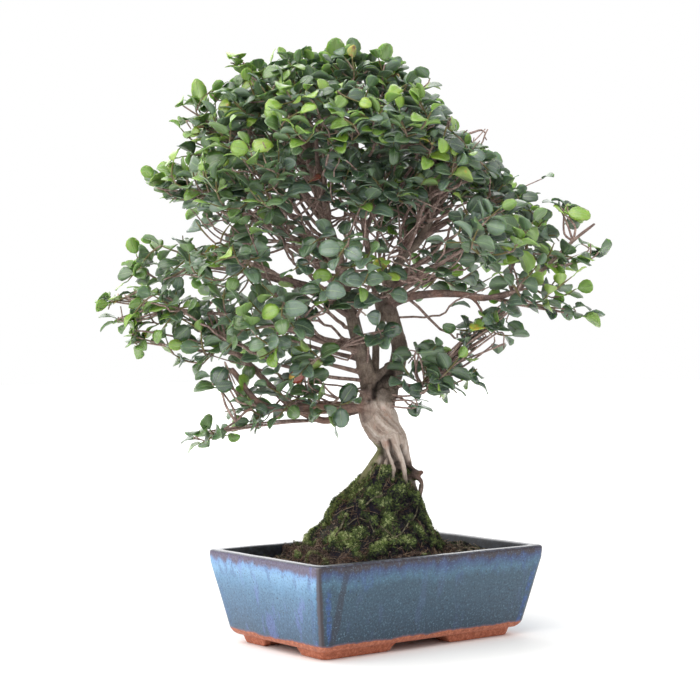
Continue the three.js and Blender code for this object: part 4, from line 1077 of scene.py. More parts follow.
def within_cavity(x, y, height, clear):
    """A place of the plan moved, where it needs to be, to just inside the pot's wall at a height."""
    inset = cavity_inset(height) + clear
    half_x, half_y = POT["length"] / 2 - inset, POT["width"] / 2 - inset
    x, y = np.clip(x, -half_x, half_x), np.clip(y, -half_y, half_y)
    flat_x, flat_y = half_x - POT["corner"], half_y - POT["corner"]
    dx, dy = np.abs(x) - flat_x, np.abs(y) - flat_y
    reach = np.hypot(dx, dy)
    over = (dx > 0) & (dy > 0) & (reach > POT["corner"])
    scale = np.where(over, POT["corner"] / np.maximum(reach, 1e-9), 1)
    x = np.where(over, np.sign(x) * (flat_x + dx * scale), x)
    y = np.where(over, np.sign(y) * (flat_y + dy * scale), y)
    return x, y


def make_soil():
    """The soil as a closed block with an uneven top."""
    cells_x, cells_y = SOIL["cells"]
    level, bottom = SOIL["level"], SOIL["bottom"]
    inset = cavity_inset(level) + GAP
    xs = np.linspace(-1, 1, cells_x + 1) * (POT["length"] / 2 - inset)
    ys = np.linspace(-1, 1, cells_y + 1) * (POT["width"] / 2 - inset)
    x, y = within_cavity(*(a.ravel() for a in np.meshgrid(xs, ys)), level, GAP)
    plan = np.column_stack([x, y, np.zeros_like(x)])
    z = ground_height(*pot_to_tree(x, y))
    z += sum(high * noise_at(plan, wide, seed) for high, wide, seed in SOIL["clods"]) - SOIL["sunk"]

    wide = cells_x + 1
    faces = [(j * wide + i, j * wide + i + 1, (j + 1) * wide + i + 1, (j + 1) * wide + i)
             for j in range(cells_y) for i in range(cells_x)]
    border = [*range(cells_x), *(j * wide + cells_x for j in range(cells_y))]
    border += [cells_y * wide + i for i in range(cells_x, 0, -1)]
    border += [j * wide for j in range(cells_y, 0, -1)]
    scale = (POT["length"] / 2 - cavity_inset(bottom) - GAP) / (POT["length"] / 2 - inset)
    low_x, low_y = within_cavity(x[border] * scale, y[border] * scale, bottom, GAP)
    first, count = len(x), len(border)
    low = np.column_stack([low_x, low_y, np.full(count, bottom)])
    for k in range(count):
        after = (k + 1) % count
        faces.append((border[k], first + k, first + after, border[after]))
    faces.append(tuple(first + k for k in range(count)))
    soil = shells_of("soil_bed", pot_to_part(np.vstack([np.column_stack([x, y, z]), low])), faces)
    soil.data.materials.append(soil_finish())
    settle(soil, "soil", "soil")
    return soil


# Moss

def moss_top(across, depth):
    """The height of the moss solid's top."""
    waves = np.sin(across * LUMPS["across"] + LUMPS["shift"])
    waves = waves * np.sin(depth * LUMPS["depth"] + across * LUMPS["skew"])
    edge = smoothstep(MOSS["spread"] - mound_share(across, depth), 0, MOSS["edge"])
    thick = MOSS["thin"] + (MOSS["thick"] + MOSS["lump"] * waves - MOSS["thin"]) * edge
    return soil_height(across, depth) + GAP + thick


def moss_reach(across, depth):
    """How far out the moss reaches in the direction of a place of the plan, as a share of the mound."""
    side, deep = mound_place(across, depth)
    turn = np.arctan2(deep, side)
    bays = sum(np.sin(count * turn + i + 1) for i, count in enumerate(MOSS["bays"]))
    return MOSS["spread"] * (1 + MOSS["ragged"] * bays)


def cushions(across, depth, edge):
    """The ground under the moss, how far its cushions rise from 0 to 1, and their top."""
    base = ground_height(across, depth)
    body = np.column_stack([across, depth, base])
    lumps = noise_at(body, CUSHIONS["broad"], 2) + 0.6 * noise_at(body, CUSHIONS["fine"], 7)
    rise = smoothstep(lumps, *CUSHIONS["lumps"]) * smoothstep(edge, *CUSHIONS["edge"])
    for number in RIDGES:
        rise = rise * smoothstep(beside_root(number, across, depth)[0], *CUSHIONS["off_ridge"])
    rough = CUSHIONS["rough"] * noise_at(body, CUSHIONS["rough_size"], 4)
    top = base + CUSHIONS["low"] + CUSHIONS["high"] * rise**1.3 + rough
    return base, rise, np.maximum(top, base + GAP + 0.2)


def skin_faces(grid):
    """The faces of a closed skin over the numbered places of a grid: its top, its underside and its edge."""
    count = grid.max() + 1
    faces, border = [], {}
    for j, i in np.ndindex(grid.shape[0] - 1, grid.shape[1] - 1):
        quad = (grid[j, i], grid[j, i + 1], grid[j + 1, i + 1], grid[j + 1, i])
        if min(quad) < 0:
            continue
        faces += [quad, tuple(count + q for q in reversed(quad))]
        for a, b in zip(quad, quad[1:] + quad[:1]):
            if (b, a) in border:
                del border[(b, a)]
            else:
                border[(a, b)] = True
    return faces + [(b, a, a + count, b + count) for a, b in border]


def make_moss():
    """The moss as a closed skin with cushions, which its tufts stand on."""
    cell = MOSS["cell"]
    grid_x, grid_y = np.meshgrid(np.arange(*MOSS["across"], cell), np.arange(*MOSS["depth"], cell))
    across, depth = grid_x.ravel(), grid_y.ravel()
    x, y = tree_to_pot(across, depth)
    inset = cavity_inset(SOIL["level"]) + MOSS["wall_gap"]
    inside = (np.abs(x) < POT["length"] / 2 - inset) & (np.abs(y) < POT["width"] / 2 - inset)
    plan = np.column_stack([across, depth, np.zeros_like(across)])
    edge = moss_reach(across, depth) + MOSS["frayed"] * noise_at(plan, 6, 9) - mound_share(across, depth)
    base, rise, top = cushions(across, depth, edge)
    body = np.column_stack([across, depth, base])

    kept = inside & (edge > 0)
    count = int(kept.sum())
    number = np.full(len(across), -1)
    number[kept] = np.arange(count)
    slope = np.gradient(base.reshape(grid_x.shape), cell)
    outward = np.column_stack([-slope[1].ravel(), -slope[0].ravel(), np.ones(len(across))])
    outward /= np.linalg.norm(outward, axis=1)[:, None]
    upper = body + outward * ((top - base) * outward[:, 2])[:, None]
    lower = np.column_stack([across, depth, base + GAP * 0.6])
    points = np.vstack([upper[kept], lower[kept]])
    mesh = mesh_of("moss_skin", tree_to_part(points), skin_faces(number.reshape(grid_x.shape)))

    across, base, rise = across[kept], base[kept], rise[kept]
    low_down = smoothstep(base - SOIL["level"], PEAT["high"], PEAT["low"])
    bare = noise_at(body[kept], PEAT["size"], 13) + low_down
    peat = smoothstep(bare, PEAT["least"], PEAT["least"] + PEAT["soft"])
    # Painted light: the moss's left side is made lighter and its right darker, on top of the cushions' rise
    rise_with_painted_side_light = rise + 0.3 * smoothstep(-across, 5, 45) - 0.2 * smoothstep(across, -5, 25)
    green = (rise > CUSHIONS["bare"]) & (peat < 0.6)
    give_numbers(mesh, "rise", np.concatenate([rise_with_painted_side_light, rise * 0.3]))
    give_numbers(mesh, "peat", np.concatenate([peat, peat]))
    give_numbers(mesh, "upper", np.concatenate([green.astype(float), np.zeros(count)]))
    give_numbers(mesh, "outside", np.concatenate([np.ones(count), np.zeros(count)]))
    facing_out(mesh)
    mesh.materials.append(moss_finish())
    moss = object_of("moss_skin", mesh)
    settle(moss, "moss", "moss")
    return moss


def make_surface_roots():
    """Thin roots that lie on the moss of the mound's front."""
    depths = np.linspace(-82, 0, 165)
    points, faces = [], []
    for number, (thick, rows) in enumerate(SURFACE_ROOTS):
        line = smooth_line(rows, 8 * (len(rows) - 1))
        places = []
        for across, up in line:
            top = cushions(np.full(len(depths), across), depths, np.ones(len(depths)))[2]
            depth = depths[np.argmax(top >= up)] if top.max() >= up else 0.0
            places.append((across, depth - LYING["forward"], up + LYING["lift"]))
        places = np.array(places)
        for _ in range(3):
            places[1:-1] = (places[:-2] + places[1:-1] * 2 + places[2:]) / 4
        places[[0, -1], 1] += LYING["ends_sunk"]
        knots = 1 + LYING["knots"] * np.sin(np.arange(len(places)) * 1.7 + number)
        tube(points, faces, places, thick * np.linspace(1, 0.6, len(places)) * knots, 6)
    roots = shells_of("surface_roots", tree_to_part(points), faces)
    roots.data.materials.append(root_finish())
    settle(roots, "bark")


# Small things on the ground

def spike_form(name, draw, high, lean):
    """A little bunch of pointed blades that stands on the origin."""
    points, faces = [], []
    for s in range(SPIKES["count"]):
        turn = 2 * math.pi * (s + draw()) / SPIKES["count"]
        out = np.array([math.cos(turn), math.sin(turn), 0.0])
        foot = out * 0.35 * draw()
        tip = foot + out * lean * (0.5 + draw()) + UP * high * (0.6 + 0.4 * draw())
        first = len(points)
        for k in range(3):
            around = turn + 2 * math.pi * k / 3
            side = np.array([math.cos(around), math.sin(around), 0.0])
            points.append(foot + SPIKES["wide"] * side - UP * SPIKES["sunk"])
        points.append(tip)
        faces += [tuple(first + k for k in face) for face in ((0, 1, 3), (1, 2, 3), (2, 0, 3), (2, 1, 0))]
    return object_of(name, mesh_of(name, np.array(points) * MM, faces, smooth=False))


def crumb_form(name, draw):
    """A small rough grain."""
    work = bmesh.new()
    bmesh.ops.create_icosphere(work, subdivisions=1, radius=1.0)
    for v in work.verts:
        v.co *= 0.75 + 0.5 * draw()
        v.co.z *= 0.8
    mesh = bpy.data.meshes.new(name)
    bmesh.ops.scale(work, vec=(MM, MM, MM), verts=work.verts)
    work.to_mesh(mesh)
    work.free()
    return object_of(name, mesh)


def needle_form(name, draw, long, thick):
    """A thin dry needle or root thread that lies on the ground."""
    first, second = 0.06 * (draw() - 0.5), 0.12 * (draw() - 0.5)
    turns = [(-0.5, 0, 0), (-0.2, first, 0.05), (0.2, second, 0.06), (0.5, 0, 0.01)]
    line = smooth_line([(a * long, b * long, c * long) for a, b, c in turns], 4)
    points, faces = [], []
    tube(points, faces, line, np.linspace(thick, thick * 0.5, len(line)), 3)
    return shells_of(name, np.array(points) * MM, faces)


def scatter_tree():
    """Sets small forms on the marked upper faces of a surface, turned to it and each of its own size."""
    tree = bpy.data.node_groups.new("scatter_on_surface", "GeometryNodeTree")
    ids = tree_inputs(tree, {
        "Forms": "Collection", "Per square metre": "Float", "Seed": "Int", "Smallest": "Float",
        "Largest": "Float", "Lean": "Float", "Sink": "Float", "Finish": "Material",
    })
    g = Graph(tree)
    given = g.node("NodeGroupInput").outputs

    def chance(low, high, shift):
        """A number between two for each form; every shift gives other numbers."""
        inputs = {2: low, 3: high, "Seed": g.math("ADD", given["Seed"], shift)}
        return Number(g, g.node("FunctionNodeRandomValue", inputs, data_type="FLOAT").outputs[1])

    scattered = g.node("GeometryNodeDistributePointsOnFaces", {
        "Mesh": given["Geometry"], "Density": given["Per square metre"], "Seed": given["Seed"],
        "Selection": above(g, stored(g, "upper"), 0.99),
    }, distribute_method="RANDOM")
    lean = g.node("ShaderNodeCombineXYZ", {
        0: chance(-1, 1, 11) * given["Lean"], 1: chance(-1, 1, 12) * given["Lean"], 2: chance(0, 6.283, 13)})
    turn = g.node("FunctionNodeRotateRotation", {
        "Rotation": scattered.outputs["Rotation"],
        "Rotate By": g.node("FunctionNodeEulerToRotation", {0: lean.outputs[0]}).outputs[0],
    }, rotation_space="LOCAL").outputs[0]
    tinted = g.node("GeometryNodeStoreNamedAttribute", {
        "Geometry": scattered.outputs["Points"], "Name": "tint", "Value": chance(0, 1, 14),
    }, data_type="FLOAT", domain="POINT").outputs[0]
    forms = g.node("GeometryNodeInstanceOnPoints", {
        "Points": tinted, "Instance": forms_of(g, given["Forms"]), "Pick Instance": True, "Rotation": turn,
        "Scale": chance(given["Smallest"], given["Largest"], 15),
    }).outputs[0]
    sunk = g.node("GeometryNodeTranslateInstances", {
        "Instances": forms, "Local Space": True,
        "Translation": g.node("ShaderNodeCombineXYZ", {2: given["Sink"]}).outputs[0],
    }).outputs[0]
    whole = g.node("GeometryNodeRealizeInstances", {0: sunk}).outputs[0]
    g.node("NodeGroupOutput", {0: with_finish(g, whole, given["Finish"])})
    return tree, ids


def make_ground(wood):
    """The soil and the moss, and all the small things that lie and grow on them and on the wood."""
    soil = make_soil()
    place = part_to_pot(points_of(soil.data))
    across, depth = pot_to_tree(place[:, 0], place[:, 1])
    bare = (mound_share(across, depth) > moss_reach(across, depth) - 0.12) & (place[:, 2] > SOIL["level"] - 6)
    give_numbers(soil.data, "upper", bare.astype(float))
    moss = make_moss()
    make_surface_roots()

    draw = stream(71)
    tufts = collection_of("tufts", [
        spike_form(f"tuft_{i}", draw, high, lean) for i, (high, lean) in enumerate(TUFTS)])
    crumbs = collection_of("crumbs", [crumb_form(f"crumb_{i}", draw) for i in range(3)])
    needles = collection_of("needles", [
        needle_form(f"needle_{i}", draw, long, thick) for i, (long, thick) in enumerate(NEEDLES)])
    tuft = {"Forms": tufts, "Finish": moss.data.materials[0], "Smallest": 0.7, "Largest": 1.35, "Lean": 0.45,
            "Sink": 0.0}
    crumb = {"Forms": crumbs, "Finish": soil.data.materials[0], "Smallest": 0.5, "Largest": 2.1, "Lean": 1.0,
             "Sink": 0.2 * MM}
    fine_crumb = {**crumb, "Smallest": 0.3, "Largest": 1.2, "Sink": 0.0}
    needle = {"Forms": needles, "Finish": needle_finish(), "Smallest": 0.5, "Largest": 1.1, "Lean": 0.3,
              "Sink": 0.8 * MM}

    patches = (noise_at(place, 9, 21) > -0.05) * bare
    outside = numbers_of(moss.data, "outside")
    peat = outside * np.maximum(numbers_of(moss.data, "peat") > 0.5, numbers_of(moss.data, "upper") < 0.5)
    tree, ids = scatter_tree()
    for name, slot, ground, form, density, seed, marks in [
        ("moss_tufts", "moss", moss, tuft, 455000, 3, None),
        ("root_moss", "moss", wood, tuft, 330000, 4, None),
        ("soil_moss", "moss", soil, tuft, 130000, 6, patches),
        ("soil_crumbs", "soil", soil, crumb, 60000, 5, None),
        ("peat_crumbs", "soil", moss, fine_crumb, 90000, 14, peat),
        ("fallen_needles", "bark", soil, needle, 12000, 8, None),
        ("peat_threads", "bark", moss, needle, 46000, 9, peat),
        ("moss_threads", "bark", moss, needle, 4000, 12, outside),
    ]:
        piece = object_of(name, ground.data.copy())
        if marks is not None:
            piece.data.attributes["upper"].data.foreach_set("value", np.asarray(marks, np.float32))
        run_nodes(piece, tree, ids, {**form, "Per square metre": float(density), "Seed": seed})
        settle(piece, slot)
    for forms in (tufts, crumbs, needles):
        remove_collection(forms)


# Wood

def point_at_height(rows, height):
    above = max(1, next((i for i, row in enumerate(rows) if row[2] > height), 1))
    low, high = np.array(rows[above - 1], float), np.array(rows[above], float)
    return (low + (high - low) * (height - low[2]) / (high[2] - low[2]))[:3]


def limb_points(limb):
    """The points that a limb's line passes, from the middle of its stem to inside its pad."""
    points = [point_at_height(STEMS[limb.stem], limb.height), *(np.array(v, float) for v in limb.via)]
    if limb.name in SPRAYLESS:
        return points + [np.array(limb.pad, float)]
    middle, half = np.array(limb.pad[:3], float), np.array(limb.pad[3:], float)
    back = points[-1] - middle
    return points + [middle + back * LIMB_END / np.linalg.norm(back / half)]


def limb_line(limb):
    points = limb_points(limb)
    return smooth_line(points, max(len(points) - 1, LIMB_PIECES))


def wood_line(rows):
    return smooth_line(rows, int(length_of(rows) / WOOD["step"]))


def wood_lines():
    """Every line of the wood with its radii, how much its grain winds, and how pale its bark is."""
    lines = []
    for name, rows in STEMS.items():
        line = wood_line(rows)
        if name == "trunk":
            lines.append((line, WINDING["trunk"], smoothstep(line[:, 2], 226, 206)))
        else:
            lines.append((line, WINDING["stem"], 0.2 * smoothstep(line[:, 2], 330, 235)))
    for number, rows in enumerate(ROOTS):
        line = wood_line(rows)
        lines.append((line, WINDING["root"], np.full(len(line), 0.1 if number in STUBS else 1.0)))
    for limb in LIMBS:
        points = limb_points(limb)
        line = wood_line(points)
        on_trunk, long = limb.stem == "trunk", length_of(points)
        share = np.linspace(0, 1, len(line))
        flare = 1 + (0.12 if on_trunk else 0.3) * np.exp(-share * long / 7)
        slim = 1.0 if limb.name in STRONG else WOOD["slim"]
        line = np.column_stack([line, between(*limb.radii, share) * flare * slim])
        lines.append((line, WINDING["limb"], (1.0 if on_trunk else 0.3) * np.exp(-share * long / 14)))
    return lines


def raw_wood(lines):
    """The wood's tubes and burls grown into one skin."""
    points, faces = [], []
    for line, _, _ in lines:
        sides = int(np.clip(line[:, 3].max() * 1.6, 8, 20))
        tube(points, faces, line[:, :3], line[:, 3], sides)
    for *at, size in BURLS:
        line = np.array([np.array(at, float) + UP * size * t for t in BURL_RINGS])
        tube(points, faces, line, [size * math.sqrt(1 - t * t) for t in BURL_RINGS], 12)
    wood = shells_of("wood", tree_to_part(points), faces)
    remesh = wood.modifiers.new("one_skin", "REMESH")
    remesh.mode, remesh.voxel_size, remesh.adaptivity = "VOXEL", WOOD["voxel"] * MM, 0.0
    apply_modifiers(wood)
    return wood


def wood_guide(lines):
    """What is known at every point of the wood's lines."""
    guide = {key: [] for key in ("at", "side", "lift", "radius", "way", "wind", "pale", "root", "stem")}
    for number, (line, wind, pale) in enumerate(lines):
        side, lift = frames_along(line[:, :3])
        way = np.concatenate([[0], np.cumsum(np.linalg.norm(np.diff(line[:, :3], axis=0), axis=1))])
        root = number - len(STEMS)
        same = dict(wind=wind, root=root if 0 <= root < len(ROOTS) else -1, stem=root < 0)
        found = dict(at=line[:, :3], side=side, lift=lift, radius=line[:, 3], way=way, pale=pale)
        found.update({key: np.full(len(line), value) for key, value in same.items()})
        for key, values in found.items():
            guide[key].append(values)
    return {key: np.concatenate(values) for key, values in guide.items()}


def nearest_guide(guide, co):
    """What is known at the line point whose skin is nearest to each point."""
    tree = kdtree.KDTree(len(guide["at"]))
    for number, at in enumerate(guide["at"]):
        tree.insert(at, number)
    tree.balance()

    def to_skin(hit):
        return hit[2] - guide["radius"][hit[1]]

    nearest = np.array([min(tree.find_n(p, 7), key=to_skin)[1] for p in co])
    return {key: values[nearest] for key, values in guide.items()}


def near_spot(co, spot, size):
    """1 at a spot, falling to 0 around it."""
    return np.exp(-np.sum((co - spot) ** 2, axis=1) / size**2)


def grain_of(co, near):
    """The angle of points round the wood as its grain winds, and their place on the grain in millimetres."""
    off = co - near["at"]
    across, up = np.sum(off * near["side"], axis=1), np.sum(off * near["lift"], axis=1)
    radius, way = near["radius"], near["way"]
    angle = np.arctan2(up, across) + near["wind"] * way
    return angle, np.column_stack([radius * np.cos(angle), radius * np.sin(angle), way])


def bark_relief(co, near, angle, grain):
    """How far out the wood stands at points, by its ribs, strands, lumps and plates."""
    radius, way = near["radius"], near["way"]
    big = smoothstep(radius, 3.5, 11)
    ribs = sum(high * np.cos(count * angle + shift + wind * way) for high, count, shift, wind in RIBS)
    strands = noise_at(grain * np.array([1 / 2.4, 1 / 2.4, 1 / 17]), 1.0, 3)
    lumps = noise_at(co, 8, 6)
    plates = np.abs(noise_at(co * np.array([1, 1, 0.6]), 3.6, 8))
    push = big * radius * ribs + (0.25 + 0.75 * big) * 0.75 * strands + (0.25 + 0.6 * big) * 0.9 * lumps
    return push - 0.8 * big * smoothstep(plates, 0.12, 0.0)


def hollowed(co, push):
    """The wood's relief with its hollows and clefts, and how far inside them points are, from 0 to 1, which
    the bark paints as shade.
    """
    hollow = np.zeros(len(co))
    for *spot, size, deep in HOLLOWS:
        share = near_spot(co, spot, size * 0.8)
        push = push - deep * share
        hollow = np.maximum(hollow, share)
    for half, deep, points in CLEFTS:
        cleft = smooth_line(points, 40)
        away = np.hypot(co[:, None, 0] - cleft[None, :, 0], co[:, None, 2] - cleft[None, :, 1]).min(axis=1)
        share = np.exp(-(away / half) ** 2) * smoothstep(co[:, 1], -2, -6)
        push = push - deep * share
        hollow = np.maximum(hollow, share)
    return push, hollow


def edges_of(mesh):
    edges = np.zeros(len(mesh.edges) * 2, np.int32)
    mesh.edges.foreach_get("vertices", edges)
    return edges.reshape(-1, 2)


def smoothed(values, edges, times):
    """Numbers at the points of a mesh, evened out along its edges."""
    joined = np.maximum(np.bincount(edges.ravel(), minlength=len(values)), 1)
    for _ in range(times):
        total = np.bincount(edges[:, 0], values[edges[:, 1]], len(values))
        total += np.bincount(edges[:, 1], values[edges[:, 0]], len(values))
        values = 0.5 * values + 0.5 * total / joined
    return values


def moss_on_wood(co, facing, near, patchy, above_moss):
    """From 0 to 1 how mossy the wood is: on the ridges' flanks and feet, behind them, and near the ground."""
    ridge, stub, grown_over = (np.isin(near["root"], roots) for roots in (RIDGES, STUBS, GROWN_OVER))
    up = co[:, 2]
    return np.maximum.reduce([
        ridge * smoothstep(facing + 0.35 * patchy, -0.3, 0.05) * smoothstep(up, *MOSSY["flank"]),
        ridge * smoothstep(up + 10 * patchy, *MOSSY["ridge"]),
        grown_over * smoothstep(up + 6 * patchy, *MOSSY["grown_over"]),
        smoothstep(above_moss - 5 * patchy, *MOSSY["over_ground"]),
        0.9 * stub * smoothstep(patchy, 0.0, 0.25),
    ])


def mark_wood(mesh, co, near, edges, hollow):
    """Stores what the bark's colours depend on."""
    patchy = noise_at(co, 5, 11)
    above_moss = co[:, 2] - moss_top(co[:, 0], co[:, 1])
    facing = normals_of(mesh) @ np.array([*tree_to_pot(*MOSSY["side"][:2]), MOSSY["side"][2]])
    mossy = smoothed(moss_on_wood(co, facing, near, patchy, above_moss), edges, 2)
    stub, ridge = np.isin(near["root"], STUBS), np.isin(near["root"], RIDGES)
    ends = np.isin(near["root"], FINGERS) * smoothstep(co[:, 2] + 5 * patchy, 152, 132)
    dark = smoothed(0.55 * stub + 0.6 * ends, edges, 4)
    give_numbers(mesh, "pale", smoothed(near["pale"], edges, 10))
    give_numbers(mesh, "stem", smoothed((near["stem"] & (co[:, 2] > 208)) * 1.0, edges, 8))
    give_numbers(mesh, "olive", smoothed(ridge * 1.0, edges, 6))
    give_numbers(mesh, "mossy", mossy)
    give_numbers(mesh, "rise", mossy * (0.62 + 0.5 * patchy))
    give_numbers(mesh, "upper", (mossy > 0.55).astype(float))
    # Painted shade in hollows and clefts, with the real dark of the stubs and the fingers' ends
    give_numbers(mesh, "hollow", np.maximum(hollow * 0.85, dark))
    give_numbers(mesh, "warm", np.max([near_spot(co, spot, size) for *spot, size in WARM_SPOTS], axis=0))
    give_numbers(mesh, "damp", smoothstep(above_moss, 14, 0))


def make_wood():
    """The trunk with its roots, forks and limbs, as one piece of wood."""
    lines = wood_lines()
    wood = raw_wood(lines)
    mesh = wood.data
    co, edges = part_to_tree(points_of(mesh)), edges_of(mesh)
    near = nearest_guide(wood_guide(lines), co)
    angle, grain = grain_of(co, near)
    push, hollow = hollowed(co, bark_relief(co, near, angle, grain))
    pushed = points_of(mesh) + normals_of(mesh) * smoothed(push, edges, 1)[:, None] * MM
    mesh.vertices.foreach_set("co", pushed.astype(np.float32).ravel())
    mesh.update()
    give_numbers(mesh, "grain", grain, "FLOAT_VECTOR")
    mark_wood(mesh, co, near, edges, hollow)
    wood.modifiers.new("fewer_faces", "DECIMATE").ratio = WOOD["faces_kept"]
    apply_modifiers(wood)
    wood.data.materials.append(bark_finish())
    wood.data.shade_smooth()
    settle(wood, "bark", "trunk")
    return wood


# Fine branches

def fine_line(rows, fewest, step):
    return smooth_line(rows, max(fewest, int(length_of(rows) / step)))


def inner_lines(limb, index):
    """The fine branches from a limb's stem into its spray, each with its radii."""
    if limb.name in (*SPRAYLESS, "left_drooping", "near_trunk"):
        return []
    draw = stream(7000 + index)
    stem = STEMS[limb.stem]
    top, low = stem[-1][2] - 2, max(stem[0][2] + 12, INNER["lowest"])
    middle, half = np.array(limb.pad[:3], float), np.array(limb.pad[3:], float)
    lines = []
    for _ in range(INNER["each"] if middle[2] > 380 else INNER["fewer"]):
        start = point_at_height(stem, min(top, max(low, limb.height + 12 - draw() * INNER["below"])))
        end = middle + stray(draw, 1) * half * 0.75
        passed = [start * (1 - t) + end * t + stray(draw, INNER["stray"]) + UP * 6 for t in (0.35, 0.7)]
        line = fine_line([start, *passed, end], 4, INNER["step"])
        line[1:] += np.array([stray(draw, INNER["wander"]) for _ in line[1:]])
        thick = np.linspace(INNER["start"] * (0.6 + 0.7 * draw()), INNER["end"], len(line))
        lines.append((line, thick))
        if draw() < INNER["forks"]:
            k = int(len(line) * (0.3 + 0.35 * draw()))
            goal = middle + stray(draw, 1) * half * 0.8
            halfway = (line[k] + goal) / 2 + stray(draw, INNER["stray"])
            fork = fine_line([line[k], halfway, goal], 3, INNER["step"])
            lines.append((fork, np.linspace(thick[k] * 0.75, INNER["end"] * 0.8, len(fork))))
    return lines


def make_inner_branches(finish):
    points, faces = [], []
    for index, limb in enumerate(LIMBS):
        for line, thick in inner_lines(limb, index):
            tube(points, faces, line, thick, 5)
    branches = shells_of("inner_branches", tree_to_part(points), faces)
    branches.data.materials.append(finish)
    settle(branches, "bark")


def filling_branches():
    """Fine branches from the nearest limb or stem to the fillers' points: line, radii and share of leaves."""
    draw = stream(4100)
    stems = [smooth_line(rows, 30)[:, :3] for rows in STEMS.values()]
    starts = np.vstack(stems + [limb_line(limb) for limb in LIMBS])
    branches = []
    for *spot, size, leaves in FILLERS:
        spot = np.array(spot, float)
        too_high = starts[:, 2] > spot[2] + (10 if leaves == 1 else -20)
        away = np.linalg.norm(starts - spot, axis=1) + 200 * too_high
        root = starts[np.argmin(np.where(away < FILLER["least"], 999, away))]
        for _ in range(FILLER["branches"]):
            end = spot + stray(draw, size)
            passed = [root * 0.6 + spot * 0.4 + stray(draw, size / 2), spot + stray(draw, size / 2)]
            line = fine_line([root, *passed, end], 5, FILLER["step"])
            branches.append((line, np.linspace(FILLER["start"], FILLER["end"], len(line)), leaves))
    return branches


# Sprays

def turned_with(v, start, end):
    """A direction turned the short way that takes start to end."""
    axis = np.cross(start, end)
    return v + np.cross(axis, v) + np.cross(axis, np.cross(axis, v)) / (1 + np.dot(start, end) + 1e-9)


def lift_at(at, heading, last, last_heading):
    """The way up for leaves at a point of a twig: outwards and upwards, and not far from the last."""
    lift = unit(at - CANOPY_MIDDLE) * LEAF["outward"] + UP
    lift = lift + turned_with(last, last_heading, heading) * TWIG["steady"]
    return unit(lift - heading * np.dot(lift, heading))


def twig_end(at, heading):
    """A point that leaves grow on without a twig's nodes."""
    return dict(lift=lift_at(at, heading, UP, heading), heading=heading)


def seen_from_front(at):
    """Where a point seems to be, across and up, on the plane through the tree's middle."""
    near = 1 + at[1] / EYE["away"]
    return at[0] / near, EYE["height"] + (at[2] - EYE["height"]) / near


def missing_in_clearing(at):
    """The share of leaves that are missing where a point seems to lie."""
    across, up = seen_from_front(at)
    return max(missing * math.exp(-(((across - x) / wide) ** 2 + ((up - z) / high) ** 2) ** 2)
               for x, z, wide, high, missing in CLEARINGS)


def beyond_crown(at):
    """How far a point seems to lie past the crown's sides, and the direction of the side passed most."""
    across, up = seen_from_front(at)
    passed = [(x * across + z * up - reach, np.array([x, 0.0, z])) for x, z, reach in TRIMS]
    deep = math.copysign(0.7, at[1])
    passed.append((deep * at[1] + 0.7 * at[2] - SHOULDER, np.array([0.0, deep, 0.7])))
    return max(passed, key=lambda side: side[0])


def twig_targets(pad, index, draw):
    """The points that a spray's twigs reach, spread over the outer part of its pad."""
    middle, (across, deep, high) = np.array(pad[:3]), pad[3:]
    area = (across * deep + deep * high + across * high) / 3
    count = max(TWIG["fewest_tips"], rounded(area / TWIG["tip_area"]))
    targets = []
    for i in range(count):
        level = 1 - (2 * (i + 0.5)) / count
        turn = i * math.pi * (3 - math.sqrt(5)) + index
        ring = math.sqrt(1 - level * level)
        share = between(SHELL["inner"], SHELL["outer"], draw())
        out = np.array([across * ring * math.cos(turn), deep * ring * math.sin(turn), high * level])
        target = middle + share * out
        if missing_in_clearing(target) > CLEAR_OF_TWIGS:
            target = middle + (target - middle) * 0.4
        over, way = beyond_crown(target)
        targets.append(target - way * max(0, over))
    return targets


def add_twig(nodes, start, target, draw):
    base = nodes[start]
    reach = np.linalg.norm(base["at"] - target)
    bend = unit(unit(target - base["at"]) * TWIG["to_tip"] + base["heading"])
    knee = base["at"] + bend * TWIG["bend"] * reach - UP * TWIG["sag"] * reach
    pieces = max(1, rounded(reach / TWIG["step"]))
    twig = []
    for i in range(1, pieces + 1):
        t = i / pieces
        at = base["at"] * (1 - t) ** 2 + knee * 2 * t * (1 - t) + target * t * t
        at = at + stray(draw, TWIG["wander"])
        number = start if i == 1 else len(nodes) - 1
        before = nodes[number]
        heading = unit(at - before["at"])
        lift = lift_at(at, heading, before["lift"], before["heading"])
        way = before["way"] + reach / pieces
        nodes.append(dict(at=at, before=number, way=way, heading=heading, lift=lift, tips=0))
        twig.append(len(nodes) - 1)
    return twig


def grow_twigs(limb, index):
    """A spray's twigs as nodes, each knowing the one before it."""
    draw = stream(1000 + index)
    line = limb_line(limb)
    root = line[-1]
    heading = unit(root - line[-2])
    lift = lift_at(root, heading, UP, heading)
    nodes = [dict(at=root + heading * out, before=before, way=way, heading=heading, lift=lift, tips=0)
             for out, before, way in [(GAP, -1, 0), (TWIG["stem"], 0, TWIG["stem"])]]
    targets = sorted(twig_targets(limb.pad, index, draw), key=lambda t: np.linalg.norm(t - root))
    twigs = []
    for target in targets:
        costs = [np.linalg.norm(n["at"] - target) + TWIG["way_cost"] * n["way"] for n in nodes[1:]]
        twigs.append(add_twig(nodes, 1 + int(np.argmin(costs)), target, draw))
    for twig in twigs:
        n = twig[-1]
        while n >= 0:
            nodes[n]["tips"] += 1
            n = nodes[n]["before"]
    return nodes, twigs


def twig_radius(node):
    return max(TWIG["thinnest"], TWIG["tip"] * max(1, node["tips"]) ** TWIG["growth"])


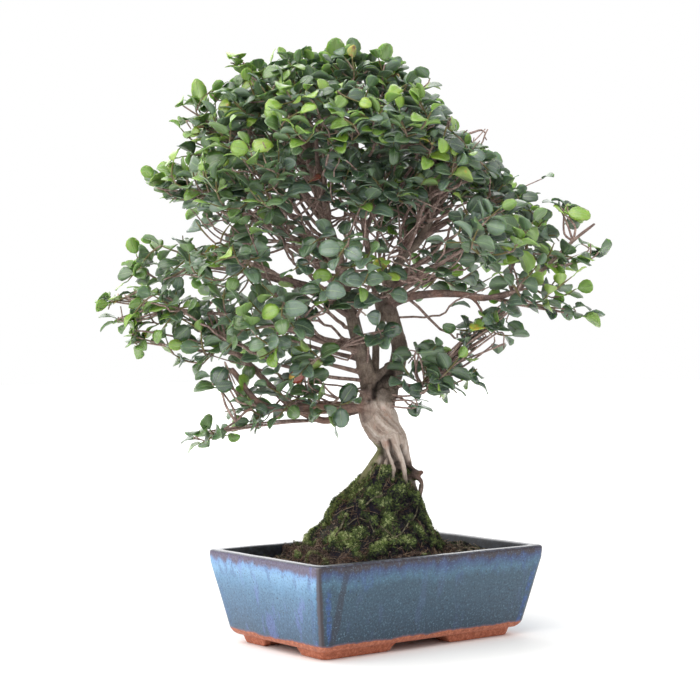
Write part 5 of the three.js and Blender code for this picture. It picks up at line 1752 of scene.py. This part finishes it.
def leaf_pose(node, order, hand, draw):
    """Which way a leaf points and faces, and how long and wide it is."""
    side = np.cross(node["lift"], node["heading"])
    forward = LEAF["forward"] if hand else 1
    along = unit(side * hand + node["heading"] * forward + stray(draw, LEAF["scatter"]))
    face = node["lift"] + stray(draw, LEAF["scatter"])
    face = unit(face - along * np.dot(face, along))
    length = between(LEAF["shortest"], LEAF["longest"], draw()) * (1 if order else LEAF["young"])
    width = length * between(LEAF["slimmest"], LEAF["widest"], draw())
    return along, face, length, width


def leaves_of(nodes, twig, number, index):
    """The leaves of a twig: one at its tip, and pairs below it."""
    leaves = []
    for order in range(min(LEAF["pairs"], len(twig))):
        for hand in ((-1, 1) if order else (0,)):
            draw = stream(((index * 64 + number) * 8 + order) * 4 + hand + 7)
            node = nodes[twig[-1 - order]]
            leaves.append((node["at"], order, *leaf_pose(node, order, hand, draw), draw))
    return leaves


def side_shoots(nodes, twigs, draw):
    """Short shoots that fill a spray: each has its start's node, its knee and its tip."""
    shoots = []
    for node in (nodes[n] for twig in twigs for n in twig[:-1]):
        full = smoothstep(node["at"][2], *SHOOT["heights"])
        if draw() > between(SHOOT["low"], SHOOT["high"], full):
            continue
        side = np.cross(node["lift"], node["heading"])
        turn = 2 * math.pi * draw()
        out = side * math.cos(turn) + node["lift"] * (0.25 + 0.75 * abs(math.sin(turn)))
        along = unit(out * SHOOT["spread"] + node["heading"] * (0.3 + 0.5 * draw()))
        reach = between(SHOOT["shortest"], SHOOT["longest"], draw())
        knee = node["at"] + along * reach * 0.5
        tip = knee + unit(along + node["lift"] * 0.5) * reach * 0.5
        if beyond_crown(tip)[0] <= 4 and missing_in_clearing(tip) <= CLEAR_OF_TWIGS:
            shoots.append((node, knee, tip))
    return shoots


def leaf_tint(at, order, draw):
    """From 0, dark and old, to 1, turning red. Tip leaves are lighter; leaves at the crown's edge are
    lighter, partly as young growth and partly as painted backlit glow; those on the left are painted lighter
    and on the right darker, as painted light.
    """
    rare = draw()
    if rare < RARE["red"]:
        return 1.0
    if rare < RARE["red"] + RARE["yellow"]:
        return 0.965
    # Leaves near the crown's edge are lighter: partly young growth, partly a painted glow of backlit leaves
    out = float(np.linalg.norm((at - CANOPY_MIDDLE) / EDGE["reach"]))
    edge = float(smoothstep(out, EDGE["inner"], EDGE["outer"]))
    if rare < RARE["red"] + RARE["yellow"] + RARE["young"] * (1 + 5 * edge) * (2 if order == 0 else 1):
        return 0.78 + 0.15 * draw()
    # Painted light: leaves on the left are made lighter and those on the right darker
    painted_side_light = PAINTED_SIDE_LIGHT["more"] * float(np.clip(-at[0] / PAINTED_SIDE_LIGHT["reach"], -1, 1))
    return max(0, 0.08 + 0.44 * draw() + 0.2 * edge + (0.08 if order == 0 else 0) + painted_side_light)


class Skeleton:
    """The mesh that foliage grows on: lines for its twigs, and a loose point for each leaf."""

    def __init__(self, seed):
        self.points, self.edges, self.thickness, self.fresh = [], [], [], []
        self.leaf_points, self.turns, self.sizes, self.forms, self.tints = [], [], [], [], []
        self.draw = stream(seed)

    def add_line(self, line, thickness, fresh):
        for k, at in enumerate(line):
            if k:
                self.edges.append((len(self.points) - 1, len(self.points)))
            self.points.append(at)
        self.thickness += list(thickness)
        self.fresh += list(fresh)

    def add_leaf(self, at, order, along, face, length, width, draw):
        low = 1 - float(smoothstep(at[2], *SMALL["heights"]))
        low = max(low, 0.95 * float(smoothstep(-at[0], *SMALL["left"])))
        if order > 1 and draw() < SMALL["missing"] * low:
            return
        if draw() < missing_in_clearing(at + along * length / 2):
            return
        length, width = length * (1 + SMALL["large"] * low), width * (1 + SMALL["large"] * low)
        face = face + LEAF["tilt"] * unit((at - CANOPY_MIDDLE) * LEAF["outwards"])
        face = unit(face - along * np.dot(face, along))
        roll = (draw() - 0.5) * 2 * LEAF["roll"]
        face = face * math.cos(roll) + np.cross(along, face) * math.sin(roll)
        basis = Matrix((np.cross(along, face), along, face)).transposed()
        length *= between(SMALL["least"], SMALL["most"], draw())
        width *= between(SMALL["narrow"], SMALL["wide"], draw())
        self.leaf_points.append(at)
        self.turns.append((Matrix.Rotation(TREE_TURN, 3, "Z") @ basis).to_quaternion())
        self.sizes.append((min(width, 0.8 * length) * MM, length * MM, length * MM))
        self.forms.append(int(draw() * 4) % 4)
        self.tints.append(leaf_tint(at, order, draw))

    def add_leaves_along(self, line, share):
        """Leaves at some points of a fine branch, from where it stops being bare."""
        for k in range(max(1, int(len(line) * INNER["bare"])), len(line)):
            if self.draw() > share:
                continue
            start = twig_end(line[k], unit(line[k] - line[k - 1]))
            hand = -1 if self.draw() < 0.5 else 1
            self.add_leaf(line[k], 2, *leaf_pose(start, 1, hand, self.draw), self.draw)

    def mesh(self, name):
        count, leaves = len(self.points), len(self.leaf_points)
        mesh = mesh_of(name, tree_to_part(self.points + self.leaf_points), [], self.edges)
        give_numbers(mesh, "thickness", self.thickness + [0.0] * leaves)
        give_numbers(mesh, "fresh", self.fresh + [0.0] * leaves)
        give_numbers(mesh, "leaf", [0.0] * count + [1.0] * leaves)
        give_numbers(mesh, "tint", [0.0] * count + self.tints)
        give_numbers(mesh, "form", [0] * count + self.forms, "INT")
        give_numbers(mesh, "size", [(0, 0, 0)] * count + self.sizes, "FLOAT_VECTOR")
        give_numbers(mesh, "turn", [(1, 0, 0, 0)] * count + [tuple(q) for q in self.turns], "QUATERNION")
        return mesh


def spray_mesh(name, limb, index):
    """The skeleton of a limb's spray."""
    made = Skeleton(50000 + index)
    nodes, twigs = grow_twigs(limb, index)
    lines = [[0, 1]] + [[nodes[twig[0]]["before"], *twig] for twig in twigs]
    for number, line in enumerate(lines):
        radii = [twig_radius(nodes[n]) for n in line]
        if number:
            radii[0] = min(radii[0], radii[1] * 1.2)
            radii[-1] *= 0.62
        fresh = [1.0 if number and k >= len(line) - 2 else 0.0 for k in range(len(line))]
        made.add_line([nodes[n]["at"] for n in line], radii, fresh)
    for number, twig in enumerate(twigs):
        for leaf in leaves_of(nodes, twig, number, index):
            made.add_leaf(*leaf)
    draw = stream(90000 + index)
    for node, knee, tip in side_shoots(nodes, twigs, draw):
        made.add_line([node["at"], knee, tip], SHOOT["radii"], SHOOT["fresh"])
        start = twig_end(tip, unit(tip - knee))
        for order, hand in enumerate(SHOOT["hands"]):
            pose = leaf_pose(start, order, hand, draw)
            made.add_leaf(knee + (tip - knee) * 0.35 if order else tip, order, *pose, draw)
    if limb.pad[2] > INNER["leafless"]:
        for line, _ in inner_lines(limb, index):
            made.add_leaves_along(line, INNER["leaves"])
    return made.mesh(name)


def leaf_form(name, fold, curl, wave):
    """A leaf of unit length and width with its stalk, lying along Y with its upper face to Z."""
    points, faces, marks, rows = [], [], [], []
    for down, half in LEAF_OUTLINE:
        y = STALK_SHARE + (1 - STALK_SHARE) * down
        first = len(points)
        for column, side in [*((c, 1) for c in LEAF_COLUMNS), (0.0, -1)]:
            body = side * (0.018 * (1 - abs(column)) + 0.01) if abs(column) < 1 else 0
            z = 0.1 * math.sin(math.pi * down) - curl * down**2 + fold * abs(column) * half + body
            z += wave * column**2 * math.sin(8 * down + (2 if column > 0 else 0)) * half
            points.append((column * half / 2, y, z))
            marks.append((column, down, 0 if abs(column) == 1 else side))
        rows.append(([first + k for k in range(5)], (first, first + 5, first + 4)))
    for (top, under), (next_top, next_under) in zip(rows, rows[1:]):
        faces += [(top[k], top[k + 1], next_top[k + 1], next_top[k]) for k in range(4)]
        faces += [(under[k + 1], under[k], next_under[k], next_under[k + 1]) for k in range(2)]
    (first_top, first_under), (last_top, last_under) = rows[0], rows[-1]
    faces += [(*first_top, first_under[1])[::-1], (*last_top, last_under[1])]
    first = len(points)
    for y, thick in ((-0.02, 0.03), (STALK_SHARE + 0.03, 0.022)):
        for x, z in ((-1, -1), (1, -1), (1, 1), (-1, 1)):
            points.append((x * thick, y, z * thick))
            marks.append((0, -0.5, 0))
    stalk = [(0, 1, 5, 4), (1, 2, 6, 5), (2, 3, 7, 6), (3, 0, 4, 7), (3, 2, 1, 0), (4, 5, 6, 7)]
    faces += [tuple(first + k for k in face) for face in stalk]
    form = shells_of(name, points, faces)
    give_numbers(form.data, "blade", marks, "FLOAT_VECTOR")
    return form


def spray_tree():
    """Twigs round the lines of a mesh, and a leaf on each of its loose points."""
    tree = bpy.data.node_groups.new("leafy_spray", "GeometryNodeTree")
    ids = tree_inputs(tree, {
        "Leaf forms": "Collection", "Twig sides": "Int", "Twig thickness": "Float", "Pieces": "Int",
        "Twig finish": "Material", "Leaf finish": "Material",
    })
    g = Graph(tree)
    given = g.node("NodeGroupInput").outputs
    split = g.node("GeometryNodeSeparateGeometry", {
        "Geometry": given["Geometry"], "Selection": above(g, stored(g, "leaf"), 0.5)}, domain="POINT")

    lines = g.node("GeometryNodeMeshToCurve", {"Mesh": split.outputs["Inverted"]}).outputs[0]
    smooth = g.node("GeometryNodeCurveSplineType", {"Curve": lines}, spline_type="CATMULL_ROM").outputs[0]
    fine = g.node("GeometryNodeSetSplineResolution", {
        "Geometry": smooth, "Resolution": given["Pieces"]}).outputs[0]
    ring = g.node("GeometryNodeCurvePrimitiveCircle", {
        "Resolution": given["Twig sides"], "Radius": 1.0}).outputs[0]
    thick = g.math("MULTIPLY", stored(g, "thickness"), given["Twig thickness"])
    skin = g.node("GeometryNodeCurveToMesh", {
        "Curve": fine, "Profile Curve": ring, "Scale": thick, "Fill Caps": True}).outputs[0]

    places = g.node("GeometryNodeMeshToPoints", {"Mesh": split.outputs["Selection"]}).outputs[0]
    leaves = g.node("GeometryNodeInstanceOnPoints", {
        "Points": places, "Instance": forms_of(g, given["Leaf forms"]), "Pick Instance": True,
        "Instance Index": stored(g, "form", "INT"), "Rotation": stored(g, "turn", "QUATERNION"),
        "Scale": stored(g, "size", "FLOAT_VECTOR"),
    }).outputs[0]
    whole = g.node("GeometryNodeRealizeInstances", {0: leaves}).outputs[0]
    joined = g.node("GeometryNodeJoinGeometry")
    for part in (with_finish(g, whole, given["Leaf finish"]), with_finish(g, skin, given["Twig finish"])):
        tree.links.new(part, joined.inputs[0])
    g.node("NodeGroupOutput", {0: joined.outputs[0]})
    return tree, ids


def make_sprays(twig_tone):
    """A piece of foliage for every spray, and one that fills the crown between them."""
    tree, ids = spray_tree()
    forms = collection_of("leaf_forms", [
        leaf_form(f"leaf_form_{i}", *form) for i, form in enumerate(LEAF_FORMS)])
    values = {
        "Leaf forms": forms, "Twig sides": 5, "Twig thickness": MM, "Pieces": 2, "Twig finish": twig_tone,
        "Leaf finish": leaf_finish(),
    }

    def add_foliage(mesh, *nodes):
        foliage = object_of(mesh.name, mesh)
        run_nodes(foliage, tree, ids, values)
        foliage.data.shade_smooth()
        settle(foliage, "foliage", *nodes)

    for index, limb in enumerate(LIMBS):
        if limb.name not in SPRAYLESS:
            add_foliage(spray_mesh(f"leaves_{limb.name}", limb, index), f"spray_{limb.name}")
    filling = Skeleton(4200)
    for line, thick, leaves in filling_branches():
        filling.add_line(line, thick, np.zeros(len(line)))
        filling.add_leaves_along(line, leaves)
    add_foliage(filling.mesh("leaves_filling"))
    remove_collection(forms)


def finish_screens():
    tone = screen_finish()
    for screen in ("drain_screen_left", "drain_screen_right"):
        materials = frame["nodes"][screen].data.materials
        materials.clear()
        materials.append(tone)


# Floor, light and camera

def place_looking(thing, place, forward):
    """Puts a lamp or a camera at a place, looking a way."""
    thing.location = place
    thing.rotation_mode = "QUATERNION"
    thing.rotation_quaternion = forward.to_track_quat("-Z", "Y")


def make_camera():
    data = bpy.data.cameras.new("camera")
    data.sensor_width, data.lens, data.clip_end = 36, CAMERA["lens"], 50
    camera = object_of("camera", data)
    azimuth, away = CAMERA["azimuth"], CAMERA["away"]
    place = POT_MIDDLE + np.array([-math.sin(azimuth) * away, -math.cos(azimuth) * away, CAMERA["height"]])
    toward = azimuth + CAMERA["yaw"]
    place_looking(camera, Vector(place * MM), Vector((math.sin(toward), math.cos(toward), CAMERA["fall"])))
    bpy.context.scene.camera = camera


def make_sun(name, place, watts, width, colour):
    """A broad soft light from afar."""
    data = bpy.data.lights.new(name, "SUN")
    data.energy, data.angle, data.color = watts, math.radians(width), colour
    place_looking(object_of(name, data), Vector(place), -Vector(place))


def make_floor():
    corners = [(-FLOOR, -FLOOR, 0), (FLOOR, -FLOOR, 0), (FLOOR, FLOOR, 0), (-FLOOR, FLOOR, 0)]
    floor = object_of("floor", mesh_of("floor", corners, [(0, 1, 2, 3)]))
    f = Finish("pale_floor", Roughness=0.95, Specular_IOR_Level=0.0)
    share = (f.clouds(300, detail=2) - 0.3) * 2.5
    f.set("Base Color", f.mixed(share, grey(0.9), grey(0.93)))
    floor.data.materials.append(f.material)


def make_world():
    """Soft light from all around, and white where the camera sees past the floor."""
    world = bpy.data.worlds.new("studio")
    world.use_nodes = True
    g = Graph(world.node_tree)
    seen = g.node("ShaderNodeLightPath").outputs["Is Camera Ray"]
    back = world.node_tree.nodes["Background"].inputs
    g.give(back["Color"], grey(1))
    g.give(back["Strength"], g.math("MULTIPLY", seen, 1 - WORLD_LIGHT) + WORLD_LIGHT)
    bpy.context.scene.world = world
    bpy.context.scene.view_settings.view_transform = "Standard"


make_camera()
make_pot()
make_ground(make_wood())
twig_tone = twig_finish()
make_sprays(twig_tone)
make_inner_branches(twig_tone)
finish_screens()
make_floor()
make_world()
make_sun("broad_light", (-1.4, 0.0, 1.6), 2.6, 80, (1.0, 0.985, 0.96))
make_sun("back_light", (0.6, 1.5, 1.0), 1.2, 60, (1.0, 1.0, 1.0))
